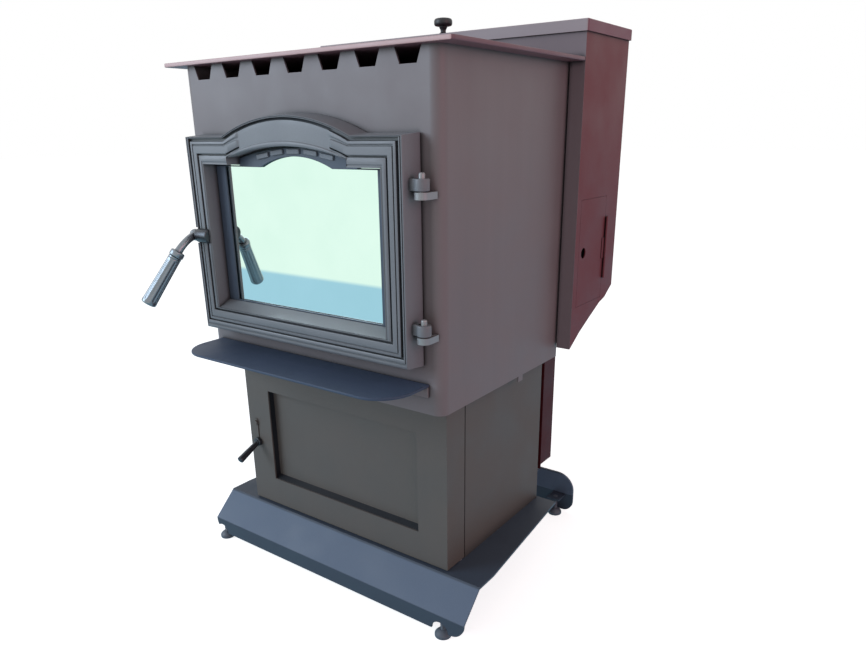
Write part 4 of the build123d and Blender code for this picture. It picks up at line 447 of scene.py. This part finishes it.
FINISHES = {
    # rolled steel sheet under sprayed high-temperature paint: satin, faint streaks from wiping, and
    # painted shade in its corners and round the doors
    "casing paint": lambda s: painted("satin high temperature paint", s.casing_colour,
                                      streak=0.10, painted_shade=0.7, reach=10.0),
    # the top plate's coat: dark red-brown as a painted reflection, with a pale painted highlight
    # along its front edge
    "top plate paint": lambda s: painted("top plate paint with a painted front highlight", linear("75565E"),
                                         front_shading=(-256.2, "CDAFAE")),
    # the same paint lying flat, duller, and darker and bluer as painted shade with a painted bluish
    # reflection
    "shelf paint": lambda s: painted("satin paint on level sheet", s.shelf_colour,
                                     rough=(0.5, 0.65), specular=0.35),
    # the base's blue-grey coat, with painted shade on the flat plate and the lip, and the slope
    # between them left lighter as a painted reflection
    "base paint": lambda s: painted("blue grey paint on the base", s.base_colour,
                                    rough=(0.45, 0.6), specular=0.35, lit_band=(47.0, 92.5)),
    # sand-cast grey iron under the same paint: the sand's grain shows through as a soft pebble;
    # painted shade darkens its grooves and corners
    "cast iron": lambda s: painted("painted grey iron casting", s.casting_colour, grain=1.6,
                                   bump=0.16, rough=(0.38, 0.52), painted_shade=0.75),
    # plate folded for the ash door and the pedestal, in a flatter coat; on the pedestal, painted
    # shade darkens corners and the band under the casing
    "pedestal paint": lambda s: painted("matt paint on folded plate", s.pedestal_colour,
                                        rough=(0.5, 0.62), streak=0.06, painted_shade=0.7, reach=30.0),
    "ash door paint": lambda s: painted("matt paint on the ash door", s.pedestal_colour,
                                        rough=(0.5, 0.62), streak=0.06),
    # the pressed tray in the ash door: painted face, and its recess walls near black as painted
    # shade
    "ash panel paint": lambda s: painted("matt paint on the ash door's tray",
                                         s.pedestal_colour, rough=(0.5, 0.62), streak=0.06,
                                         front_shading=(-180.3, "12161D")),
    # the hopper's front face takes the casing's grey and its sides are browner as a painted warm
    # reflection; painted shade darkens its corners and gaps
    "hopper paint": lambda s: painted("satin brown hopper paint", s.hopper_colour, streak=0.08,
                                      specular=0.25, painted_shade=0.85, reach=12.0,
                                      front_shading=(144.4, "81767A")),
    # the shroud below the hopper is the same paint in the stove's shade, darker as painted shade
    "shroud paint": lambda s: painted("brown paint on the shroud in painted shade", linear("4A171B"),
                                      specular=0.15),
    # the lid's sides are pink as a painted warm reflection, and its front face paler grey as
    # painted light
    "lid paint": lambda s: painted("satin paint on the hopper's lid", s.lid_colour,
                                   specular=0.3, front_shading=(141.0, "A59B9E")),
    # drawn and turned steel, left bare: the brush marks spread its highlights
    "bright steel": lambda s: painted("brushed steel", linear("A9AAAD"), metallic=1.0,
                                      rough=(0.25, 0.35)),
    # forged hinge parts under a thin coat, worn so that the metal glints through
    "hinge iron": lambda s: painted("painted hinge iron", linear("929395"), metallic=0.35,
                                    rough=(0.34, 0.46), grain=1.0),
    # hot-dip zinc on thin sheet: spangles the size of a thumbnail
    "zinc sheet": lambda s: painted("galvanised steel", linear("A5A8AA"), metallic=1.0,
                                    mottle=14.0, spread=0.2, rough=(0.3, 0.5)),
    # enamel on the motors' pressed cases: smooth, with an even sheen
    "motor enamel": lambda s: painted("motor enamel", linear("55565A")),
    # the load door's pane: a film on it makes a mirror of it from outside
    "mirror glass": lambda s: mirror_glass(),
    # braided glass fibre, soft and dull
    "glass rope": lambda s: painted("woven glass rope", linear("A8A49C"), grain=2.0, bump=0.5,
                                    rough=(0.8, 0.95)),
    # fire clay, pressed and fired: coarse grain and no sheen
    "fire brick": lambda s: painted("pressed fire brick", linear("B8A586"), grain=2.5, bump=0.4,
                                    rough=(0.85, 0.95)),
    # ABS, moulded in one colour with a low even gloss
    "black plastic": lambda s: painted("moulded black plastic", linear("26262A"),
                                       rough=(0.35, 0.5)),
    # moulded rubber, greyed by dust
    "rubber foot": lambda s: painted("moulded foot", linear("555D67"), rough=(0.4, 0.6)),
    # turned steel, polished and lightly blued by heat: bright, with long highlights; painted shade
    # darkens its tight corners
    "handle steel": lambda s: painted("polished turned steel", linear("838A90"), metallic=0.75,
                                      rough=(0.26, 0.34), grain=4.0, bump=0.003, painted_shade=0.8,
                                      reach=5.0),
    # turned steel, blackened and oiled; on the door's handle boss it stands for painted shade
    "gunmetal": lambda s: painted("blackened turned steel", linear("43464B"), metallic=0.7,
                                  rough=(0.3, 0.42), grain=4.0, bump=0.004),
    # the frame that holds the pane: painted strip, with painted shade in its corners
    "retainer": lambda s: painted("painted retainer steel", linear("414C5C"), painted_shade=0.6),
    # the small pads on it: stamped steel in a paler coat
    "pad steel": lambda s: painted("stamped retainer pads", linear("767C84")),
}


def dress(node, name):
    """Gives a CAD node's slots one finish."""
    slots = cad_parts[node].data.materials
    slots.clear()
    slots.append(material(name))


# ---------------------------------------------------------------- settings

def paint_setting(name, about, code):
    """A colour that a user can change, from its sRGB hex."""
    return FloatVectorProperty(name=name, description=about, subtype="COLOR", size=3, min=0.0,
                               max=1.0, default=linear(code))


class StoveSettings(bpy.types.PropertyGroup):
    """Sizes and colours that a user would change."""

    casing_colour: paint_setting("Casing", "Paint of the casing", "787173")
    # the ash lip's and the base's colours are darker and bluer than the casing as painted shade
    # with a painted bluish reflection
    shelf_colour: paint_setting("Shelf", "Paint of the ash lip", "3D4B60")
    base_colour: paint_setting("Base", "Paint of the base plate", "5C6B7E")
    casting_colour: paint_setting("Castings", "Paint of the load door", "75797E")
    pedestal_colour: paint_setting("Pedestal", "Paint of the ash door and pedestal", "5B5550")
    # the hopper's and the lid's pink-brown is a painted warm reflection on their sides
    hopper_colour: paint_setting("Hopper", "Paint of the hopper's sides", "6C3238")
    lid_colour: paint_setting("Lid", "Paint of the hopper's lid", "7C525E")
    grip_flutes: IntProperty(name="Grip flutes", description="Grooves along the door's grip",
                             default=10, min=0, max=24)
    flute_depth: FloatProperty(name="Flute depth", description="Depth of the grip's grooves",
                               default=0.0009, min=0.0, max=0.003, unit="LENGTH")
    rope_lay: FloatProperty(name="Rope lay", description="Length of one twist of the door's rope",
                            default=0.009, min=0.004, max=0.05, unit="LENGTH")
    key_power: FloatProperty(name="Key light", description="Power of the front softbox, in watts",
                             default=97.0, min=0.0)
    fill_power: FloatProperty(name="Fill light", description="Power of the right softbox, in watts",
                              default=18.0, min=0.0)


# ---------------------------------------------------------------- stage

class STOVE_OT_stage(bpy.types.Operator):
    """Floor, soft lamps, world and the camera at the photograph's angle"""

    bl_idname = "stove.stage"
    bl_label = "Stage, lamps and camera"

    def execute(self, context):
        settings = context.scene.stove
        scene = context.scene
        scene.view_settings.view_transform = "Standard"
        self.floor(scene)
        self.world(scene)
        self.lamp("key softbox", (-2.6, -3.0, 2.0), 2.2, settings.key_power, "D8ECFF")
        self.lamp("fill softbox", (3.2, -0.6, 1.6), 1.8, settings.fill_power, "FF9DAC")
        camera = bpy.data.cameras.new("photo camera")
        camera.lens = 29.594
        camera.sensor_width = 36.0
        camera.shift_x = 0.0013
        camera.shift_y = 0.0714
        eye = bpy.data.objects.new("photo camera", camera)
        scene.collection.objects.link(eye)
        eye.rotation_mode = "XYZ"
        turn = (Matrix.Rotation(math.radians(35.97), 4, "Z")
                @ Matrix.Rotation(math.radians(90 - 19.70), 4, "X")
                @ Matrix.Rotation(math.radians(-0.72), 4, "Z"))
        eye.matrix_world = Matrix.Translation((0.866, -1.085, 0.833)) @ turn
        scene.camera = eye
        return {"FINISHED"}

    def floor(self, scene):
        """A pale floor. It shows white to the camera but for the stove's faint shadow, and the
        mirror glass sees pale blue near the stove, a painted shade on the ground, and near white
        beyond 2.5 m."""
        reach, lifted, pale_beyond, soft = 30.0, 0.78, 2.5, 0.04
        mesh = bpy.data.meshes.new("floor")
        mesh.from_pydata([(-reach, -reach, 0), (reach, -reach, 0), (reach, reach, 0),
                          (-reach, reach, 0)], [], [(0, 1, 2, 3)])
        floor = bpy.data.objects.new("floor", mesh)
        scene.collection.objects.link(floor)
        made, tree, shader = blank("pale studio floor")
        path = add(tree, "ShaderNodeLightPath")
        seen = add(tree, "ShaderNodeMath", {"operation": "MAXIMUM"},
                   i0=path.outputs["Is Camera Ray"], i1=path.outputs["Is Transmission Ray"])
        shader.inputs["Base Color"].default_value = opaque(linear("EDEDED"))
        shader.inputs["Roughness"].default_value = 0.9
        shader.inputs["Specular IOR Level"].default_value = 0.0
        lift = add(tree, "ShaderNodeMath", {"operation": "MULTIPLY", 1: lifted}, i0=seen.outputs[0])
        white = add(tree, "ShaderNodeEmission", {"Color": (1, 1, 1, 1)}, Strength=lift.outputs[0])
        shown = add(tree, "ShaderNodeAddShader", i0=shader.outputs[0], i1=white.outputs[0])
        place = add(tree, "ShaderNodeTexCoord").outputs["Object"]
        split = add(tree, "ShaderNodeSeparateXYZ", Vector=place)
        # painted shade: pale blue ground near the stove, seen only by gloss rays
        near = add(tree, "ShaderNodeMapRange",
                   {"From Min": -pale_beyond - soft, "From Max": -pale_beyond + soft},
                   Value=split.outputs["Y"])
        tone = add(tree, "ShaderNodeMix", {"data_type": "RGBA", 6: opaque(linear("EAFFF6")),
                                           7: opaque(linear("A6D2E6"))}, i0=near.outputs["Result"])
        thrown = add(tree, "ShaderNodeEmission", Color=tone.outputs[2])
        both = add(tree, "ShaderNodeMixShader", i0=path.outputs["Is Glossy Ray"],
                   i1=shown.outputs[0], i2=thrown.outputs[0])
        tree.links.new(both.outputs[0], tree.nodes["Material Output"].inputs["Surface"])
        mesh.materials.append(made)

    def world(self, scene):
        """A dim even room that shows white to the camera, to gloss and through glass."""
        world = bpy.data.worlds.new("studio")
        scene.world = world
        world.use_nodes = True
        tree = world.node_tree
        back = tree.nodes["Background"]
        path = add(tree, "ShaderNodeLightPath")
        seen = add(tree, "ShaderNodeMath", {"operation": "MAXIMUM"},
                   i0=path.outputs["Is Camera Ray"], i1=path.outputs["Is Glossy Ray"])
        more = add(tree, "ShaderNodeMath", {"operation": "MAXIMUM"}, i0=seen.outputs[0],
                   i1=path.outputs["Is Transmission Ray"])
        level = add(tree, "ShaderNodeMapRange", {"To Min": 0.35, "To Max": 1.0},
                    Value=more.outputs[0])
        tree.links.new(level.outputs["Result"], back.inputs["Strength"])
        back.inputs["Color"].default_value = (1, 1, 1, 1)

    def lamp(self, name, spot, size, power, code):
        """A square soft lamp, turned to the middle of the stove."""
        light = bpy.data.lights.new(name, "AREA")
        light.shape = "SQUARE"
        light.size = size
        light.energy = power
        light.color = linear(code)
        made = bpy.data.objects.new(name, light)
        bpy.context.scene.collection.objects.link(made)
        made.location = spot
        aim = Vector((0, 0, 0.5)) - Vector(spot)
        made.rotation_euler = aim.to_track_quat("-Z", "Y").to_euler()


# ---------------------------------------------------------------- load door

class STOVE_OT_load_door(bpy.types.Operator):
    """Arched cast door with its stepped mouldings, handle boss and hinge knuckles"""

    bl_idname = "stove.load_door"
    bl_label = "Load door casting"

    def execute(self, context):
        rows = casting_rows()
        x, z, on_arch = arched(np.stack([row[0] for row in rows]))
        side = np.array([row[1] for row in rows])[:, None]
        crown = np.array([row[2] for row in rows])[:, None]
        # on the arch the step and the groove fade out inside the stubs, along a smooth ramp
        inner = np.arange(len(rows))[:, None] >= len(rows) - BEAD_ROWS
        end = np.where(inner, BEAD_END, STUB + 2)
        ramp = np.clip((end - np.abs(x)) / np.where(inner, 34.0, 4.0), 0, 1) * on_arch
        ramp = ramp * ramp * (3 - 2 * ramp)
        depth = side + (crown - side) * ramp
        # the pocket: points of the left side in front of its floor move in to its wall
        pocket = (z < POCKET_HIGH - 0.05) & (z > POCKET_LOW + 0.05) & (x < POCKET_X)
        pocket &= depth < POCKET_DEPTH - 0.05
        x = np.where(pocket, POCKET_X, x)
        casting = skin(np.stack([x, DOOR_FRONT + depth, z], axis=-1), looped=True)
        # the boss takes the dark blackened steel, though cast with the door: painted shade for the
        # shadow round it
        boss = drum(12.5, POCKET_X, -200.0, SHAFT, (1, 0, 0), edge=1.6)
        build("handle_boss", [boss], "load_door", "gunmetal", "load_door")
        # a lug and a knuckle at each hinge
        skins = [casting]
        x, y = HINGE
        for low in (755.5, 546.5):
            high = low + 17.0
            skins.append(bar((230.5, y - 6.0, low), (x, y + 6.0, high), 1.5))
            skins.append(drum(11.0, low, high, (x, y, 0), (0, 0, 1), edge=1.5))
        build("load_door_casting", skins, "load_door", "cast iron",
              "load_door", crease=28)
        return {"FINISHED"}


class STOVE_OT_door_window(bpy.types.Operator):
    """Mirror glass, its retainer frame with five pads, and the twisted door rope"""

    bl_idname = "stove.door_window"
    bl_label = "Door glass, retainer and rope"

    def execute(self, context):
        rows = [(2.9, -250.0), (3.3, -249.7), (3.5, -249.0), (3.5, -248.0), (3.1, -247.1)]
        pane = skin(arched_rings([(widened(VIEW, out), at) for out, at in rows]))
        build("door_pane", [pane], "load_door", "mirror glass", "door_glass", crease=50)

        # the frame's lower bar stands 2 mm above the sill's rear edge
        rim = widened(REVEAL, -2.5)
        view = VIEW + (0, 6.5, 0, 0, 0, 0)
        rows = [(rim, -252.0), (rim, -253.9), (widened(rim, -0.6), -254.5),
                (widened(view, 0.6), -254.5), (view, -253.9), (view, -252.0)]
        build("retainer_frame", [skin(arched_rings(rows), looped=True)], "load_door",
              "retainer", "glass_retainer")
        # five pads along the arch, each at an x and a z and tilted by some degrees
        skins = []
        outline = filleted([(-14, -3.75), (14, -3.75), (14, 3.75), (-14, 3.75)], 1.2, 4)
        for at_x, at_z, tilt in [(-71, 799.5, 9), (-37, 805, 6), (0, 806.7, 0), (38, 805, -6),
                                 (72, 799.5, -9)]:
            skins.append(plate(spun(outline, tilt) + (at_x, at_z),
                               [(0, -254.5), (0, -256.7), (0.8, -257.5)], (0, 2, 1)))
        build("retainer_pads", skins, "load_door", "pad steel",
              "glass_retainer")

        # rope: an oval section carried round the outline, its strands turning once in each lay
        middle = np.array([214.0, 519.0, 805.0, 137.0, 805.0, 838.0])
        turn = np.linspace(0, 2 * math.pi, 14, endpoint=False)
        x, z, _ = arched(np.stack([widened(middle, out) for out in 5.0 * np.cos(turn)]))
        far = np.hypot(np.diff(x[0], append=x[0, :1]), np.diff(z[0], append=z[0, :1]))
        along = np.cumsum(far)[None]
        lay = context.scene.stove.rope_lay / MM
        strands, relief, thickness, middle_y = 3, 0.18, 1.1, -241.65
        strand = relief * np.cos(strands * turn[:, None] - 2 * math.pi * along / lay)
        y = middle_y + (thickness + strand) * np.sin(turn)[:, None]
        build("load_door_rope", [skin(np.stack([x, y, z], axis=-1), looped=True)], "load_door",
              "glass rope", "door_rope", crease=60)
        return {"FINISHED"}


class STOVE_OT_door_handle(bpy.types.Operator):
    """Door handle: ball on its shaft, hook, bent neck, collar and fluted grip"""

    bl_idname = "stove.door_handle"
    bl_label = "Door handle"

    def execute(self, context):
        settings = context.scene.stove
        # the neck is the parabola from the ball to the collar that starts towards its bend
        share = np.linspace(0, 1, 20)[:, None]
        start, bend, end = (np.array(spot) for spot in (HUB, (-231.0, -309.0, 659.0), COLLAR))
        path = (1 - share) ** 2 * start + 2 * share * (1 - share) * bend + share ** 2 * end
        neck = swept(path, 6.5 + 0.8 * (2 * share[:, 0] - 1) ** 2)
        ball_r, pole = 10.5, 0.06
        turn = np.linspace(pole, math.pi - pole, 20)
        ball = ball_r * np.column_stack([np.sin(turn), -np.cos(turn)])
        # the hook hangs 25 degrees below level while the handle is released
        hook = [(0, -4), (35, -4), (35, 10), (30.5, 10), (30.5, 4), (0, 4)]
        hook = filleted(spun(hook, -25.0) + HUB[1:], 0.8, 3)
        skins = [neck, turned(ball, HUB, (1, 0, 0), 40),
                 drum(6.0, -244.0, -206.0, SHAFT, (1, 0, 0), edge=0.8),
                 plate(hook, edged(-250.0, -245.0, 0.7), (2, 0, 1)),
                 drum(12.5, -4.0, 7.0, COLLAR, GRIP_AXIS, edge=2.6, around=48)]
        build("handle_neck", skins, "door_handle", "handle steel",
              "door_handle", crease=40)

        # few rows where the flutes run straight, and more where they fade out at both ends
        height = np.array([12, 13.2, 14.4, 15.6, 16.8, 18, 34, 50, 66, 82, 93, 94, 95, 96, 97, 98])
        swell = 11.3 + 2.2 * ((height - 7) / 97) ** 1.4
        fade = np.clip((height - 12) / 6, 0, 1) * np.clip((98 - height) / 5, 0, 1)
        body = np.column_stack([swell, height, fade])
        head = [(7.5, 7.05, 0), (10.6, 7.1, 0), (11.4, 8.0, 0), (11.4, 10.4, 0), (10.8, 11.2, 0)]
        tail = [(13.4, 99.5, 0), (13.3, 101.5, 0), (12.4, 103.2, 0), (10.4, 104.0, 0),
                (4.0, 104.0, 0)]
        shape = turned(np.vstack([head, body, tail]), COLLAR, GRIP_AXIS, around=240,
                       flutes=settings.grip_flutes, depth=settings.flute_depth / MM)
        build("handle_grip", [shape], "door_handle", "handle steel",
              "door_handle_grip", crease=40)
        return {"FINISHED"}


class STOVE_OT_hinge_pins(bpy.types.Operator):
    """Load door hinge pins with domed heads"""

    bl_idname = "stove.hinge_pins"
    bl_label = "Hinge pins"

    def execute(self, context):
        dome = [(4.4, 0), (4.76, 0.5), (4.76, 34.2), (4.5, 35.4), (3.6, 36.4), (2.0, 36.95),
                (0.6, 37.0)]
        skins = [turned(dome, (*HINGE, low), (0, 0, 1), 32) for low in (744.0, 535.0)]
        build("hinge_pin_set", skins, "stove", "hinge iron", "door_hinge_pins")
        return {"FINISHED"}


# ---------------------------------------------------------------- plates and trim

class STOVE_OT_plates(bpy.types.Operator):
    """Top plate and ash lip with rolled edges"""

    bl_idname = "stove.plates"
    bl_label = "Top plate and ash lip"

    def execute(self, context):
        top = plate(board(305, -257, 143, 6, 8), edged(944.0, 950.35, 1.5))
        build("rolled_top_plate", [top], "stove", "top plate paint", "top_plate")
        lip_half = 248
        lip = plate(board(lip_half, -343, -240.2, 60, 24), edged(457.5, 462.0, 1.6))
        build("rolled_ash_lip", [lip], "stove", "shelf paint", "ash_lip")
        flange = bar((-lip_half, -244.5, 440.0), (lip_half, -240.0, 458.0), 1.2)
        build("ash_lip_flange", [flange], "stove", "casing paint", "ash_lip")
        return {"FINISHED"}


class STOVE_OT_lid_knob(bpy.types.Operator):
    """Turned knob of the hopper's lid"""

    bl_idname = "stove.lid_knob"
    bl_label = "Lid knob"

    def execute(self, context):
        profile = [(8.6, 0), (9, 0.4), (8.4, 1.6), (5.6, 3.4), (5, 5), (5.4, 8), (6.6, 10.4),
                   (7.6, 12), (8, 13.8), (13, 14.4), (15.8, 15.2), (17.1, 17), (17.5, 19.5),
                   (17.5, 22.5), (17.1, 24.6), (15.8, 26.6), (13, 27.8), (8, 28.6), (1, 28.8)]
        foot = (0, 160, 1008.8)
        build("turned_lid_knob", [turned(profile, foot, (0, 0, 1))], "hopper_lid",
              "black plastic", "lid_knob", crease=50)
        return {"FINISHED"}


class STOVE_OT_ash_latch(bpy.types.Operator):
    """Ash door's turn latch: shaft, collar, tapered lever and cam"""

    bl_idname = "stove.ash_latch"
    bl_label = "Ash door latch"

    def execute(self, context):
        start = np.array([LATCH_X, -198.0, LATCH_Z])
        end = np.array([LATCH_X, -251.0, LATCH_Z - 24.0])
        length = float(np.linalg.norm(end - start))
        share = np.linspace(0, 1, 16)
        body = np.column_stack([5.0 + 2.0 * share ** 0.8, share * (length - 3)])
        lever = np.vstack([[(3.5, -0.5)], body, [(6.7, length - 1.6), (5.2, length - 0.5),
                                                 (2.0, length)]])
        skins = [turned(lever, start, end - start, 32),
                 drum(9.0, -203.0, -195.2, LATCH, (0, 1, 0), edge=1.4),
                 drum(5.5, -205.0, -132.0, LATCH, (0, 1, 0), edge=0.8),
                 bar((LATCH_X - 6.0, -136.0, LATCH_Z - 6.0),
                     (LATCH_X + 6.0, -132.0, LATCH_Z + 19.0))]
        build("ash_turn_latch", skins, "ash_latch", "gunmetal",
              "ash_door_latch", crease=40)
        return {"FINISHED"}


class STOVE_OT_feet(bpy.types.Operator):
    """Levelling feet: domed pad, ring, and a threaded stud"""

    bl_idname = "stove.feet"
    bl_label = "Levelling feet"

    def execute(self, context):
        spots = {"foot_front_left": (-306.0, -242.0), "foot_front_right": (272.0, -242.0),
                 "foot_rear_left": (-240.0, 255.0), "foot_rear_right": (240.0, 255.0)}
        pad = [(13.4, 0), (14.6, 0.5), (15, 1.6), (15, 5.4), (14.6, 6.6), (13.2, 8.6),
               (11.6, 9.8), (11.2, 10.6), (10.6, 10.9), (9.2, 12.2), (7.4, 13.4), (6.0, 14.0)]
        # thread: the radius rides a cosine of height less angle, once round in each pitch
        middle_r, relief, pitch = 4.65, 0.35, 1.75
        height = np.linspace(13.5, 45.0, 128)[:, None]
        angle = np.linspace(0, 2 * math.pi, 24, endpoint=False)[None]
        radius = middle_r + relief * np.cos(2 * math.pi * height / pitch - angle)
        for name, (x, y) in spots.items():
            stud = np.stack([x + radius * np.cos(angle), y + radius * np.sin(angle),
                             height + 0 * angle], axis=-1)
            build("domed_" + name, [turned(pad, (x, y, 0), (0, 0, 1)), skin(stud)], name,
                  "rubber foot", name, crease=45)
        return {"FINISHED"}


class STOVE_OT_finishes(bpy.types.Operator):
    """Finishes for the pieces that keep their CAD shape"""

    bl_idname = "stove.finishes"
    bl_label = "Finishes"

    def execute(self, context):
        table = {
            "casing paint": "casing_wrap casing_back casing_floor firebox_shell heat_exchanger "
                            "baffle_plate",
            "base paint": "base_plate",
            "shelf paint": "ash_compartment ash_pan",
            "pedestal paint": "pedestal_wrap",
            "ash door paint": "ash_door_frame",
            "ash panel paint": "ash_door_panel",
            "cast iron": "burn_pot door_keeper",
            "hinge iron": "door_hinge_brackets ash_door_pins",
            "hopper paint": "hopper_shell side_access_panel hopper_bottom_panel panel_hinge "
                            "lid_hinges",
            "shroud paint": "rear_shroud",
            "lid paint": "hopper_lid",
            "bright steel": "feed_auger igniter combustion_fan_wheel room_blower_wheel",
            "zinc sheet": "hopper_liner exhaust_duct flue_tailpipe air_intake_pipe auger_housing "
                          "combustion_fan_housing room_blower_housing air_box",
            "motor enamel": "feed_motor combustion_fan_motor room_blower_motor",
            "glass rope": "ash_door_rope",
            "fire brick": "back_brick",
            "black plastic": "feed_rate_dial fan_speed_dial mode_switch power_inlet control_panel",
        }
        for name, nodes in table.items():
            for node in nodes.split():
                dress(node, name)
        return {"FINISHED"}


STEPS = (STOVE_OT_stage, STOVE_OT_load_door, STOVE_OT_door_window, STOVE_OT_door_handle,
         STOVE_OT_hinge_pins, STOVE_OT_plates, STOVE_OT_lid_knob, STOVE_OT_ash_latch,
         STOVE_OT_feet, STOVE_OT_finishes)


class STOVE_PT_panel(bpy.types.Panel):
    """Every step of the stove, and its settings"""

    bl_idname = "STOVE_PT_panel"
    bl_label = "Pellet stove"
    bl_space_type = "VIEW_3D"
    bl_region_type = "UI"
    bl_category = "Pellet stove"

    def draw(self, context):
        column = self.layout.column(align=True)
        for step in STEPS:
            column.operator(step.bl_idname)
        for name in StoveSettings.__annotations__:
            self.layout.prop(context.scene.stove, name)


CLASSES = (StoveSettings, *STEPS, STOVE_PT_panel)


def register():
    for kind in CLASSES:
        bpy.utils.register_class(kind)
    bpy.types.Scene.stove = PointerProperty(type=StoveSettings)


def unregister():
    del bpy.types.Scene.stove
    for kind in reversed(CLASSES):
        bpy.utils.unregister_class(kind)


def main():
    register()
    bpy.ops.stove.stage()
    bpy.ops.stove.load_door()
    bpy.ops.stove.door_window()
    bpy.ops.stove.door_handle()
    bpy.ops.stove.hinge_pins()
    bpy.ops.stove.plates()
    bpy.ops.stove.lid_knob()
    bpy.ops.stove.ash_latch()
    bpy.ops.stove.feet()
    bpy.ops.stove.finishes()


if __name__ == "__main__":
    main()
